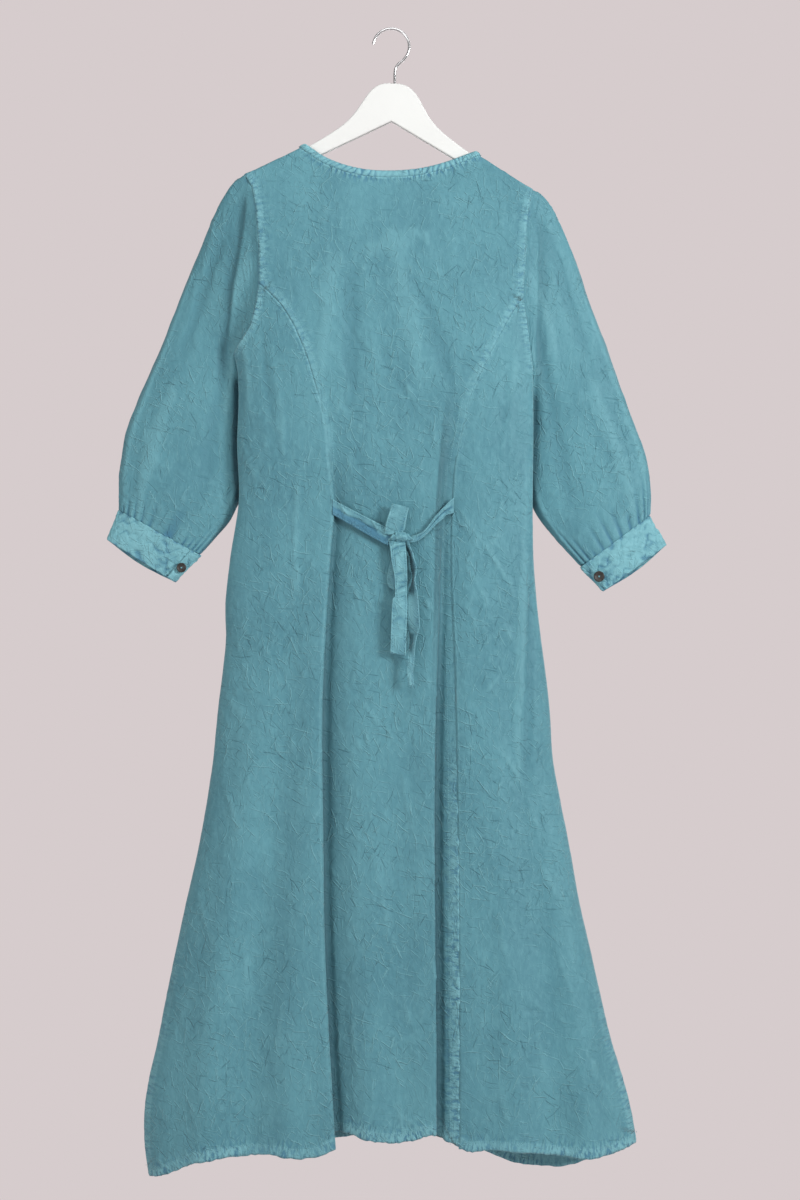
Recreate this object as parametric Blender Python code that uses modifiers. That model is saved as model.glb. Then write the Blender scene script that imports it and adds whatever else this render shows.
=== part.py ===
"""Maxi dress on a wooden clothes hanger.

The dress hangs with its back towards -Y and its front towards +Y. The origin is the point
under the crest of the hook where it rests on a rail. Tables give millimetres: x is measured
to the right of the hook, and drop is measured down from the origin. Each panel is a grid that
is bent to its place and given the thickness of the cloth.
"""

import math

import bmesh
import bpy
import numpy as np

MM = 0.001

# Thicknesses and gaps, in millimetres
CLOTH = 1.2
DOUBLE_CLOTH = 1.8
SEAM_GAP = 0.4
NECK_GAP_BACK = 1.6
NECK_GAP_FRONT = 2.95
ARMHOLE_GAP = 1.2
ARMPIT_EXTRA_GAP = 2.95
ROLL = 8.0
ROLL_POWER = 3.5
SIDE_POWER = 5.0

# Outline of the body below the armholes. Above them it is the line that the cloth would keep
# without sleeves, which sets how far the panels have turned where the sleeves are sewn on.
BODY_SIDES = (
    # drop, left x, right x
    (150, -315, 300),
    (200, -300, 270),
    (300, -250, 214),
    (366, -226, 195),
    (395, -219, 189.5),
    (440, -213.5, 191.5),
    (461, -209.4, 192.5),
    (490, -207.5, 193),
    (560, -209.4, 193),
    (640, -207.2, 192.3),
    (720, -219, 193.5),
    (785, -225.3, 198.7),
    (828, -224.5, 203.6),
    (870, -228.7, 209.2),
    (920, -235, 215),
    (995, -242.3, 220.3),
    (1047, -250.2, 229.7),
    (1115, -262.5, 243.2),
    (1185, -278.5, 255.7),
    (1250, -292.4, 270.6),
    (1310, -304.8, 284),
    (1375, -317.4, 299.5),
    (1430, -329.9, 316.5),
    (1465, -334.8, 325.5),
    (1510, -335, 332.8),
    (1560, -328.6, 336),
)

# How far the back and the front stand out from the side seams
BODY_DEPTHS = (
    # drop, back, front
    (150, 8, 8),
    (190, 9, 9),
    (250, 15, 15),
    (350, 23, 24),
    (450, 28, 30),
    (560, 29, 32),
    (650, 27, 32),
    (800, 34, 39),
    (1000, 42, 48),
    (1200, 50, 57),
    (1400, 58, 65),
    (1560, 62, 69),
)

# Shoulder line over the hanger, continued inwards along the hanger's upper edge
SHOULDER = (
    # x, drop
    (-215, 203.9),
    (-199.9, 196.7),
    (-116.4, 157),
    (-80, 135),
    (-30, 78),
    (3, 73),
    (30, 80),
    (80, 143),
    (113.8, 167),
    (193, 217.5),
    (215, 231.5),
)

NECK_BACK = (
    # x, drop
    (-116.4, 157),
    (-91.5, 173.9),
    (-69.6, 183.3),
    (-38.3, 191.1),
    (5.3, 193.3),
    (42.8, 189.6),
    (74, 181.7),
    (95.9, 173.9),
    (113.8, 167),
)
NECK_FRONT = (
    # x, drop
    (-116.4, 157),
    (-103, 184),
    (-83, 214),
    (-50, 243),
    (0, 260),
    (50, 247),
    (82, 220),
    (101, 192),
    (113.8, 167),
)
NECK_HALF_WIDTH = 115.0
BINDING_OUT = 7.2
BINDING_DOWN = 8.0
BINDING_DOWN_AT_SHOULDER = 3.6
BINDING_ROLL = 9.0

# Armhole seams, from the shoulder tip down to the armpit
ARMHOLE_BACK_LEFT = (
    # drop, x
    (196.7, -199.9),
    (215, -189),
    (242.2, -183.6),
    (284.4, -180.3),
    (317, -179),
    (346.3, -179),
    (380.9, -184),
    (404.1, -190),
    (422.7, -203),
    (440, -213.5),
)
ARMHOLE_BACK_RIGHT = (
    # drop, x
    (217.5, 193),
    (239.5, 187.4),
    (273, 183.2),
    (311.6, 181.8),
    (366, 179.1),
    (395, 183.5),
    (425, 187.5),
    (461, 192.5),
)
ARMHOLE_FRONT_LEFT = (
    # drop, x
    (196.7, -199.9),
    (230, -182),
    (284.4, -173),
    (340, -171),
    (375, -175),
    (405, -185),
    (425, -199),
    (440, -213.5),
)
ARMHOLE_FRONT_RIGHT = (
    # drop, x
    (217.5, 193),
    (250, 179),
    (311.6, 170),
    (366, 167),
    (410, 172),
    (440, 182),
    (461, 192.5),
)
ARMPIT = {"left": 440.0, "right": 461.0}

# Princess seams of the back, from the armhole to the hem
PRINCESS_LEFT = (
    # drop, x
    (346.3, -179),
    (361.9, -162.1),
    (377.8, -147.6),
    (397.3, -135.5),
    (422.7, -123.2),
    (447, -113.6),
    (471.2, -106.2),
    (495.6, -99),
    (539.2, -89.2),
    (583, -85.7),
    (641.1, -79),
    (720, -84),
    (911, -93.8),
    (1100, -92.5),
    (1251, -89.8),
    (1400, -82),
    (1496, -76.5),
    (1560, -74),
)
PRINCESS_RIGHT = (
    # drop, x
    (366, 179.1),
    (374.1, 172.7),
    (414.9, 148.2),
    (455.7, 127.8),
    (492.5, 110.2),
    (544.1, 96.6),
    (598.5, 87),
    (639.3, 84.3),
    (911, 89),
    (1251, 92.5),
    (1560, 92.5),
)

# Lines of the grids from the corners of the neckline. The right one of the back becomes the
# crest of the long pressed fold right of the centre.
NECK_LINE_LEFT = (
    # drop, x
    (150, -124.2),
    (217, -124),
    (366, -105),
    (455, -80),
    (640, -46),
    (1560, -42),
)
RIGHT_CREST = (
    # drop, x
    (150, 121.4),
    (217, 121),
    (366, 105),
    (455, 87),
    (544, 75),
    (640, 67),
    (720, 65),
    (843, 62),
    (911, 60),
    (1496, 59.8),
    (1560, 59),
)

# Long folds of the back. Each rises to a crest and drops into a valley on its right.
KNIFE_STEP = 7.0
KNIFE_FOLDS = (
    # line, crest height, valley depth, crest width, valley width
    (PRINCESS_LEFT, 6, 12, 34, 26),
    (RIGHT_CREST, 8, 11, 40, 22),
)
KNIFE_STRENGTH = (
    # drop, share
    (430, 0),
    (560, 0.15),
    (640, 0.45),
    (760, 0.85),
    (911, 1),
    (1560, 1),
)

# Broad soft folds of the skirt: they open from the waist down to the hem
SOFT_FOLDS_BACK = (
    # x at the waist, x at the hem, height at the hem, half width at the hem
    (-150, -250, 9, 26),
    (-125, -190, -8, 28),
    (-100, -135, 6, 24),
    (-20, -28, 6, 30),
    (130, 165, 7, 26),
    (150, 218, -8, 28),
    (170, 268, 8, 24),
)
SOFT_FOLDS_FRONT = (
    # x at the waist, x at the hem, height at the hem, half width at the hem
    (-150, -255, 10, 28),
    (-115, -170, -10, 30),
    (-70, -85, 9, 28),
    (-10, -5, -9, 34),
    (55, 80, 9, 28),
    (110, 160, -9, 30),
    (165, 235, 10, 30),
)
SOFT_FROM = 640.0
SOFT_TO = 1500.0

HEM_BACK_LEFT = (
    # x, drop
    (-340, 1556.5),
    (-328, 1555.6),
    (-290, 1541),
    (-267, 1529),
    (-242, 1523),
    (-204, 1518),
    (-159, 1516),
    (-116, 1519),
    (-92, 1515),
    (-74, 1506),
)
HEM_BACK_CENTRE = (
    # x, drop
    (-78, 1488),
    (-55, 1489),
    (-34, 1494.5),
    (-15, 1498),
    (30, 1495),
    (59, 1488),
    (72, 1498),
    (93, 1505),
)
HEM_BACK_RIGHT = (
    # x, drop
    (90, 1506),
    (99, 1510),
    (126, 1509),
    (168, 1511),
    (220, 1518),
    (265, 1522),
    (304, 1516),
    (326, 1511.5),
    (340, 1509.7),
)
HEM_FRONT = (
    # x, drop
    (-340, 1556.5),
    (-290, 1548),
    (-200, 1538),
    (-100, 1528),
    (0, 1511),
    (60, 1510),
    (100, 1525),
    (150, 1548),
    (200, 1560),
    (240, 1562),
    (276, 1547),
    (320, 1520),
    (340, 1509.7),
)

# Levels of the grid's rows that follow the tilt of the dress, given at the two sides
BUST_LEVEL = (346.3, 366.0)
WAIST_LEVEL = (641.0, 650.0)

# Three close rows follow the roll over the shoulder, at these drops below it
ROLL_ROWS = (1.0, 3.5, 9.0)

# Rows of the grids between the levels: the side panels have those of the centre along the seams
ROWS_TO_BUST = 6
ROWS_TO_WAIST = 9
ROWS_TO_HEM = 13
ROWS_TO_ARMPIT = 9
FRONT_ROWS_TO_HEM = 13


def row_breaks(*counts):
    """Where each level lies in v, when these numbers of rows come between the levels."""
    return np.concatenate([[0], np.cumsum(counts)]) / sum(counts)


CENTRE_ROWS = (1, 1, 1, ROWS_TO_BUST, ROWS_TO_WAIST, ROWS_TO_HEM)
SIDE_ROWS = (ROWS_TO_WAIST, ROWS_TO_HEM)
FRONT_ROWS = (1, 1, 1, ROWS_TO_ARMPIT, FRONT_ROWS_TO_HEM)

# Sleeves, from the armhole to the cuff seam: the two edges of the flattened tube
SLEEVE_LEFT = (
    # outer x, outer drop, inner x, inner drop, depth of the middle, half depth
    (-199.9, 196.7, -213.5, 440, 0, 22),
    (-216.4, 208.2, -217.6, 443.5, 4, 21),
    (-230.7, 228.6, -218, 450, 9, 20),
    (-242.9, 250.9, -216.5, 461, 15, 20),
    (-261.3, 293.8, -211.5, 480, 23, 20),
    (-285.7, 350.9, -205, 505, 30, 22),
    (-314.2, 424.2, -200.5, 540, 32, 24),
    (-342.7, 489.5, -199.5, 580, 31, 25),
    (-363.1, 542.5, -202, 615, 29, 24),
    (-369.2, 575.1, -208, 640, 27, 23),
    (-373.3, 607.6, -222, 668, 24, 21),
    (-373, 635, -243, 693, 22, 18),
    (-372.5, 652, -262, 714, 20, 15),
)
SLEEVE_RIGHT = (
    # outer x, outer drop, inner x, inner drop, depth of the middle, half depth
    (193, 217.5, 192.5, 461, 0, 22),
    (205, 222.5, 195.4, 464.5, 4, 21),
    (219, 239, 197, 471, 9, 20),
    (230.5, 259, 196, 482, 15, 20),
    (250.2, 306.1, 192.5, 499, 23, 20),
    (270.6, 363.3, 188, 522, 30, 22),
    (291, 416.3, 184.5, 550, 32, 24),
    (318, 492, 184.5, 585, 31, 25),
    (338, 545, 187, 617, 29, 24),
    (347.5, 573, 191.5, 642, 27, 23),
    (353.5, 603, 204, 666, 24, 21),
    (355, 632, 228, 695, 22, 18),
    (353.3, 660.4, 260, 730, 20, 15),
)
SLEEVE_COLUMNS = 48
SLEEVE_ROWS = 12
SLEEVE_JOIN = 0.34
SLEEVE_FULLNESS = 0.75
GATHER_HEIGHT = 2.0
GATHER_REACH = 0.22

# Cuffs: the lower edge of each, the upper edge being the sleeve's last row
CUFF_EDGE = {
    # outer x, outer drop, inner x, inner drop, depth of the middle, half depth
    "left": (-388.7, 692.5, -296.6, 750, 17, 12),
    "right": (376.7, 699.4, 290.5, 762.8, 17, 12),
}
CUFF_WALL = 2.0
CUFF_HEIGHT = 45.0
CUFF_LAP_START = 0.46
CUFF_OVERLAP = 0.075
CUFF_LAP_LIFT = 3.2
CUFF_COLUMNS = 38
CUFF_ROWS = 3

# Buttons, by their place on the outside of the cuff
BUTTONS = {
    # x, drop, radius
    "left": (-285.5, 730.9, 6.6),
    "right": (283.0, 743.0, 7.4),
}
BUTTON_THICKNESS = 2.6

# Back tie: lines that the ribbons follow, in the plane of the back
TIE_WIDTH = 19.5
TIE_PINCH = 0.6
STRAP_LEFT = (
    # x, drop, lift off the back
    (-74.5, 650, 3),
    (-62, 656, 3.5),
    (-44, 667, 5),
    (-26, 679, 6.5),
    (-7, 689.5, 8),
)
STRAP_RIGHT = (
    # x, drop, lift off the back
    (79.5, 650, 3.4),
    (70, 658, 4.6),
    (56, 669, 5.6),
    (43, 680, 6.5),
    (31.5, 689.5, 8),
)
KNOT = {"x": 11.6, "drop": 690.5, "half_width": 17.5, "half_height": 9.5, "half_depth": 6.5, "lift": 9.0}
LOOP_UP = {"x": 7.5, "drop": 680.7, "lean": 10.0, "length": 33.0, "gap": 3.6, "lift": 8.0}
LOOP_LOW = {"x": 0.5, "drop": 700.3, "lean": -2.0, "length": 56.0, "gap": 3.6, "lift": 8.0}
TAIL_FLAT = (
    # x, drop, lift off the back, turn in degrees
    (8.5, 700.7, 12, 0),
    (12, 730, 11, 4),
    (13.5, 762, 9, -6),
    (11.5, 800, 8, 4),
    (10, 849, 7, -3),
)
TAIL_TWISTED = (
    # x, drop, lift off the back, turn in degrees
    (25.0, 699.0, 8.5, 8),
    (29, 733, 15, 40),
    (33.5, 775, 14, 55),
    (33, 806, 12, 30),
    (30, 833, 12, 62),
    (27.5, 857, 12, 66),
    (25.5, 889, 12, 55),
)

# Hanger, in its own frame: x from its middle, drop from its top
HANGER_TILT = math.radians(2.8)
HANGER_MIDDLE = (2.9, 73.6)
HANGER_THICKNESS = 11.0
HANGER_EDGE = 2.0
HANGER_UPPER = (
    # x, drop
    (0, 0),
    (11.3, 0.2),
    (22.5, 4.5),
    (32.1, 13.3),
    (43, 30.6),
    (51.1, 43.2),
    (64.2, 57.9),
    (82.4, 72),
    (104, 86.6),
    (125, 98.5),
    (186, 132.4),
)
HANGER_NOTCH = 51.4
HANGER_UNDER_SLOPE = 0.536
HANGER_END_RADIUS = 10.0
HANGER_UNDER_FROM = 170.0

# Hook: centre and radius of its round top, and the stem that goes down to the hanger
WIRE_RADIUS = 1.85
HOOK_RADIUS = 24.5
HOOK_TIP_ANGLE = math.radians(172)
HOOK_TURN_ANGLE = math.radians(-32)
HOOK_STEM = (
    # x, drop
    (16.5, 41),
    (10, 46.5),
    (6, 52.5),
    (4.8, 60),
)


def clear_scene():
    for thing in list(bpy.data.objects):
        bpy.data.objects.remove(thing, do_unlink=True)


def make_collection(name):
    collection = bpy.data.collections.new(name)
    bpy.context.scene.collection.children.link(collection)
    return collection


def make_material(name, colour, roughness, metallic=0.0):
    material = bpy.data.materials.new(name)
    material.use_nodes = True
    shader = material.node_tree.nodes["Principled BSDF"]
    shader.inputs["Base Color"].default_value = (*colour, 1)
    shader.inputs["Roughness"].default_value = roughness
    shader.inputs["Metallic"].default_value = metallic
    return material


def through(rows, where, column=1):
    """A smooth curve through one column of a table, read at the places given."""
    xs = np.array([row[0] for row in rows], float)
    ys = np.array([row[column] for row in rows], float)
    slopes = np.gradient(ys, xs)
    where = np.clip(np.asarray(where, float), xs[0], xs[-1])
    index = np.clip(np.searchsorted(xs, where, side="right") - 1, 0, len(xs) - 2)
    span = xs[index + 1] - xs[index]
    t = (where - xs[index]) / span
    start = (1 + 2 * t) * (1 - t) ** 2 * ys[index] + t * (1 - t) ** 2 * span * slopes[index]
    end = t**2 * (3 - 2 * t) * ys[index + 1] + t**2 * (t - 1) * span * slopes[index + 1]
    return start + end


def straight(rows, where, column=1):
    """The same with straight runs between the rows, for lines that have corners."""
    return np.interp(where, [row[0] for row in rows], [row[column] for row in rows])


def smoothstep(t):
    t = np.clip(t, 0, 1)
    return t * t * (3 - 2 * t)


def sides(drop):
    return through(BODY_SIDES, drop, 1), through(BODY_SIDES, drop, 2)


def stand_out(x, drop, column):
    """How far the body's wall stands from the plane of the side seams."""
    left, right = sides(drop)
    across = np.clip(np.abs((2 * x - left - right) / (right - left)), 0, 1)
    rounding = np.sqrt(1 - across**SIDE_POWER)
    below = np.clip((drop - straight(SHOULDER, x)) / ROLL, 0, 1)
    roll = (1 - (1 - below) ** ROLL_POWER) ** (1 / ROLL_POWER)
    return through(BODY_DEPTHS, drop, column) * rounding * roll, rounding


def soft_folds(x, drop, rows):
    opened = smoothstep((drop - SOFT_FROM) / (SOFT_TO - SOFT_FROM))
    total = np.zeros_like(x)
    for waist_x, hem_x, height, half_width in rows:
        middle = waist_x + (hem_x - waist_x) * opened
        total += height * opened * np.exp(-(((x - middle) / half_width) ** 2))
    return total


def knife_folds(x, drop):
    total = np.zeros_like(x)
    strength = through(KNIFE_STRENGTH, drop)
    for line, height, depth, crest_width, valley_width in KNIFE_FOLDS:
        past = x - through(line, drop)
        crest = height * np.exp(-((np.minimum(past, 0) / crest_width) ** 2))
        valley = -depth * np.exp(-((np.maximum(past - KNIFE_STEP, 0) / valley_width) ** 2))
        step = smoothstep((past + 2) / (KNIFE_STEP + 2))
        total += strength * (crest * (1 - step) + valley * step)
    return total


def back_y(x, drop):
    depth, rounding = stand_out(x, drop, 1)
    folds = knife_folds(x, drop) + soft_folds(x, drop, SOFT_FOLDS_BACK)
    return -depth - folds * rounding


def front_y(x, drop):
    depth, rounding = stand_out(x, drop, 2)
    return depth + soft_folds(x, drop, SOFT_FOLDS_FRONT) * rounding


def points_at(x, y, drop):
    return np.column_stack([x, y, -drop]) * MM


def neck_line(rows, share_out):
    """The neckline moved outwards by a share of the binding's width, as x and drop."""
    xs = np.linspace(rows[0][0], rows[-1][0], 61)
    drops = through(rows, xs)
    across = xs / NECK_HALF_WIDTH
    down = BINDING_DOWN + (BINDING_DOWN_AT_SHOULDER - BINDING_DOWN) * across**2
    return xs + share_out * BINDING_OUT * across, drops + share_out * down


def top_edge(x, neck_rows, gap):
    """Drop of a body panel's upper edge: under the neck binding, then along the shoulder."""
    neck_x, neck_drop = neck_line(neck_rows, 1)
    in_neck = np.interp(x, neck_x, neck_drop + gap, left=0, right=0)
    return np.maximum(in_neck, straight(SHOULDER, x))


def along_levels(v, breaks, levels):
    """Drop at v where each level is the drop at one of the breaks."""
    drop = levels[0]
    for start, end, low, high in zip(breaks, breaks[1:], levels, levels[1:]):
        drop = drop + (high - low) * np.clip((v - start) / (end - start), 0, 1)
    return drop


def settle_on(x_at, edge, guess):
    """The drop at which a column of the grid meets an edge that is given by x."""
    drop = guess
    for _ in range(40):
        drop = 0.5 * drop + 0.5 * edge(x_at(drop))
    return drop


def centre_left(drop):
    armhole = straight(ARMHOLE_BACK_LEFT, drop)
    return np.where(drop < PRINCESS_LEFT[0][0], armhole, through(PRINCESS_LEFT, drop)) + SEAM_GAP / 2


def centre_right(drop):
    armhole = straight(ARMHOLE_BACK_RIGHT, drop)
    return np.where(drop < PRINCESS_RIGHT[0][0], armhole, through(PRINCESS_RIGHT, drop)) - SEAM_GAP / 2


CENTRE_COLUMNS = (2, 3, 1, 8, 1, 2, 3)
NEAR_CORNER = 2.2
SIDE_COLUMNS = 8
FRONT_COLUMNS = (6, 1, 10, 1, 6)
FRONT_LINES = (
    # drop, left x, right x
    (150, -124.2, 121.4),
    (217, -124, 121),
    (440, -122, 118),
    (1560, -190, 190),
)


def place_back_centre(u, v):
    breaks = row_breaks(*CENTRE_COLUMNS)

    def x_at(drop):
        left, right = centre_left(drop), centre_right(drop)
        neck, crest = through(NECK_LINE_LEFT, drop), through(RIGHT_CREST, drop)
        valley = left + 2 * KNIFE_STEP, crest + KNIFE_STEP + 1
        lines = (left, valley[0], neck, neck + NEAR_CORNER, crest - NEAR_CORNER, crest, valley[1], right)
        return along_levels(u, breaks, lines)

    top = settle_on(x_at, lambda x: top_edge(x, NECK_BACK, NECK_GAP_BACK), 200 + 0 * u)
    bust = BUST_LEVEL[0] + (BUST_LEVEL[1] - BUST_LEVEL[0]) * u
    waist = WAIST_LEVEL[0] + (WAIST_LEVEL[1] - WAIST_LEVEL[0]) * u
    hem = settle_on(x_at, lambda x: through(HEM_BACK_CENTRE, x), 1500 + 0 * u)
    roll = [top + below for below in ROLL_ROWS]
    drop = along_levels(v, row_breaks(*CENTRE_ROWS), (top, *roll, bust, waist, hem))
    x = x_at(drop)
    return points_at(x, back_y(x, drop), drop)


def side_panel(u, v, seam, armhole, side, hem_rows):
    """A back side panel: u runs from the princess seam to the side of the body."""
    outward = -1 if side == "left" else 1
    column = 1 if side == "left" else 2
    spread = np.sin(u * math.pi / 2) ** 1.2

    def x_at(drop):
        start = through(seam, drop) + outward * SEAM_GAP / 2
        return start + (through(BODY_SIDES, drop, column) - start) * spread

    low, high = seam[0][0] + 0 * u, ARMPIT[side] + 0 * u
    for _ in range(40):
        middle = (low + high) / 2
        beyond = outward * (x_at(middle) - straight(armhole, middle)) > 0
        low, high = np.where(beyond, middle, low), np.where(beyond, high, middle)
    top = (low + high) / 2
    waist = WAIST_LEVEL[0] + 0 * u if side == "left" else WAIST_LEVEL[1] + 0 * u
    hem = settle_on(x_at, lambda x: through(hem_rows, x), 1520 + 0 * u)
    drop = along_levels(v, row_breaks(*SIDE_ROWS), (top, waist, hem))
    x = x_at(drop)
    y = back_y(x, drop) - SEAM_GAP / 2
    return points_at(x, y, drop)


def place_back_side_left(u, v):
    return side_panel(u, v, PRINCESS_LEFT, ARMHOLE_BACK_LEFT, "left", HEM_BACK_LEFT)


def place_back_side_right(u, v):
    return side_panel(u, v, PRINCESS_RIGHT, ARMHOLE_BACK_RIGHT, "right", HEM_BACK_RIGHT)


def front_edge(drop, armhole, column, armpit):
    return np.where(drop < armpit, straight(armhole, drop), through(BODY_SIDES, drop, column))


def place_front(u, v):
    breaks = row_breaks(*FRONT_COLUMNS)
    first, second = breaks[1], breaks[4]
    from_left = 1 - np.cos(np.clip(u / first, 0, 1) * math.pi / 2)
    from_right = 1 - np.cos(np.clip((1 - u) / (1 - second), 0, 1) * math.pi / 2)

    def x_at(drop):
        left = front_edge(drop, ARMHOLE_FRONT_LEFT, 1, ARMPIT["left"])
        right = front_edge(drop, ARMHOLE_FRONT_RIGHT, 2, ARMPIT["right"])
        line_left, line_right = through(FRONT_LINES, drop, 1), through(FRONT_LINES, drop, 2)
        lines = (line_left, line_left + NEAR_CORNER, line_right - NEAR_CORNER, line_right)
        x = along_levels(u, breaks[1:5], lines)
        x = np.where(u < first, left + (line_left - left) * from_left, x)
        return np.where(u > second, right + (line_right - right) * from_right, x)

    top = settle_on(x_at, lambda x: top_edge(x, NECK_FRONT, NECK_GAP_FRONT), 200 + 0 * u)
    armpit = ARMPIT["left"] + (ARMPIT["right"] - ARMPIT["left"]) * u
    hem = settle_on(x_at, lambda x: through(HEM_FRONT, x), 1520 + 0 * u)
    roll = [top + below for below in ROLL_ROWS]
    drop = along_levels(v, row_breaks(*FRONT_ROWS), (top, *roll, armpit, hem))
    x = x_at(drop)
    return points_at(x, front_y(x, drop) + SEAM_GAP / 2, drop)


def place_binding(u, v):
    """The closed strip round the neck: the back for the first half of u, then the front."""
    turn = np.cos(2 * math.pi * u)
    share = (1 - turn) / 2
    points = np.zeros((len(u), 3))
    for on_half, rows, depth in ((u <= 0.5, NECK_BACK, back_y), (u > 0.5, NECK_FRONT, front_y)):
        inner_x, inner_drop = neck_line(rows, 0)
        outer_x, outer_drop = neck_line(rows, 1)
        steps = np.linspace(0, 1, len(inner_x))
        x = np.interp(share, steps, inner_x) * (1 - v) + np.interp(share, steps, outer_x) * v
        drop = np.interp(share, steps, inner_drop) * (1 - v) + np.interp(share, steps, outer_drop) * v
        on_ridge = np.clip(np.abs(np.sin(2 * math.pi * u)) * BINDING_ROLL, 0, 1)
        points[on_half] = points_at(x, depth(x, drop) * on_ridge, drop)[on_half]
    return points


def station(rows, t):
    """One row's values of a sleeve table, read between its rows at t from 0 to 1."""
    numbered = [(index, *row) for index, row in enumerate(rows)]
    where = t * (len(rows) - 1)
    return [through(numbered, where, column + 1) for column in range(6)]


def flattened_ring(values, w):
    """A point round a flattened tube: w runs down the back from the outer edge, then up the front."""
    outer_x, outer_drop, inner_x, inner_drop, middle, half = values
    share = (1 - np.cos(2 * math.pi * w)) / 2
    wave = np.sin(2 * math.pi * w)
    depth = middle - np.sign(wave) * half * np.abs(wave) ** SLEEVE_FULLNESS
    x = outer_x + (inner_x - outer_x) * share
    drop = outer_drop + (inner_drop - outer_drop) * share
    return x, depth, drop


def armhole_edges(side):
    """The body's own edges round an armhole, back and front, as rows of x, y and drop."""
    edge = 0.0 if side == "left" else 1.0
    centre_v = np.arange(len(ROLL_ROWS) + ROWS_TO_BUST + 1) / sum(CENTRE_ROWS)
    front_v = np.arange(len(ROLL_ROWS) + ROWS_TO_ARMPIT + 1) / sum(FRONT_ROWS)
    side_u = np.arange(1, SIDE_COLUMNS + 1) / SIDE_COLUMNS
    place_side = place_back_side_left if side == "left" else place_back_side_right
    back = np.vstack([place_back_centre(0 * centre_v + edge, centre_v), place_side(side_u, 0 * side_u)])
    front = place_front(0 * front_v + edge, front_v)
    return [np.column_stack([p[:, 0], p[:, 1], -p[:, 2]]) / MM for p in (back, front)]


def armhole_ring(edges, w):
    """The armhole seam of the body at the same w as the sleeve's ring."""
    share = (1 - np.cos(2 * math.pi * w)) / 2
    found = []
    for edge in edges:
        drop = edge[0, 2] + (edge[-1, 2] - edge[0, 2]) * share
        x, y = (np.interp(drop, edge[:, 2], edge[:, column]) for column in (0, 1))
        found.append([x, y, drop])
    on_ridge = np.clip(np.abs(np.sin(2 * math.pi * w)) * SLEEVE_COLUMNS, 0, 1)
    x, y, drop = (np.where(w <= 0.5, back, front) for back, front in zip(*found))
    return x, y * on_ridge, drop


def gather_height(w, t):
    """Peaks and hollows of the gathers, of unequal reach, strongest at the cuff."""
    number = np.round(w * SLEEVE_COLUMNS)
    reach = GATHER_REACH * (0.65 + 0.35 * np.sin(number * 2.4))
    return np.where(number % 2 == 0, 1, -1) * GATHER_HEIGHT * np.clip(1 - (1 - t) / reach, 0, 1)


def place_sleeve(side):
    rows = SLEEVE_LEFT if side == "left" else SLEEVE_RIGHT
    edges = armhole_edges(side)

    def place(w, t):
        x, y, drop = flattened_ring(station(rows, t), w)
        first = flattened_ring(station(rows, 0 * t), w)
        seam = armhole_ring(edges, w)
        fade = 1 - smoothstep(t / SLEEVE_JOIN)
        x = x + (seam[0] - first[0]) * fade
        drop = drop + (seam[2] - first[2]) * fade
        y = y + (seam[1] - first[1]) * fade
        y = y - np.sign(np.sin(2 * math.pi * w)) * gather_height(w, t)
        return points_at(x, y, drop)

    def place_clear(w, t):
        """The same with the first row drawn back from the armhole by the seam's gap."""
        points = place(w, t)
        ahead = place(w, np.maximum(t, 1.5 / (len(rows) - 1)))
        away = ahead - points
        length = np.maximum(np.linalg.norm(away, axis=1, keepdims=True), 1e-9)
        down = (1 - np.cos(2 * math.pi * w)) / 2
        gap = ARMHOLE_GAP + ARMPIT_EXTRA_GAP * down**6
        moved = points + away / length * gap[:, None] * MM
        return np.where((t < 1e-6)[:, None], moved, points)

    return place_clear


def cuff_values(side, v):
    top = np.array((SLEEVE_LEFT if side == "left" else SLEEVE_RIGHT)[-1], float)
    bottom = np.array(CUFF_EDGE[side], float)
    lead = SEAM_GAP / CUFF_HEIGHT
    return [a + (b - a) * (lead + (1 - lead) * v) for a, b in zip(top, bottom)]


def place_cuff(side):
    """The band laps over itself at the inner edge of the back, where it is buttoned."""

    def place(u, v):
        w = CUFF_LAP_START - u * (1 + CUFF_OVERLAP)
        lap = smoothstep((u * (1 + CUFF_OVERLAP) - (1 - CUFF_OVERLAP)) / CUFF_OVERLAP)
        values = cuff_values(side, v)
        across = np.hypot(values[2] - values[0], values[3] - values[1])
        wider = 1 + lap * CUFF_LAP_LIFT / across
        values[2] = values[0] + (values[2] - values[0]) * wider
        values[3] = values[1] + (values[3] - values[1]) * wider
        values[5] = values[5] + lap * CUFF_LAP_LIFT
        x, y, drop = flattened_ring(values, w)
        return points_at(x, y, drop)

    return place


def ribbon(rows, width, turned=False, pinch=1.0):
    """A flat ribbon along a line on the back: lifted off it, turned, and pinched at its start."""
    count = len(rows)
    numbered = [(index, *row) for index, row in enumerate(rows)]

    def place(u, v):
        where = u * (count - 1)
        x, drop, lift = (through(numbered, where, column) for column in (1, 2, 3))
        ahead_x = through(numbered, where + 0.01, 1) - through(numbered, where - 0.01, 1)
        ahead_drop = through(numbered, where + 0.01, 2) - through(numbered, where - 0.01, 2)
        length = np.hypot(ahead_x, ahead_drop)
        turn = np.radians(through(numbered, where, 4)) if turned else 0 * u
        reach = (v - 0.5) * width * (pinch + (1 - pinch) * smoothstep(where))
        side_x = reach * np.cos(turn) * ahead_drop / length
        side_drop = -reach * np.cos(turn) * ahead_x / length
        y = back_y(x + side_x, drop + side_drop) if not turned else back_y(x, drop)
        return points_at(x + side_x, y - lift + reach * np.sin(turn), drop + side_drop)

    return place


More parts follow.
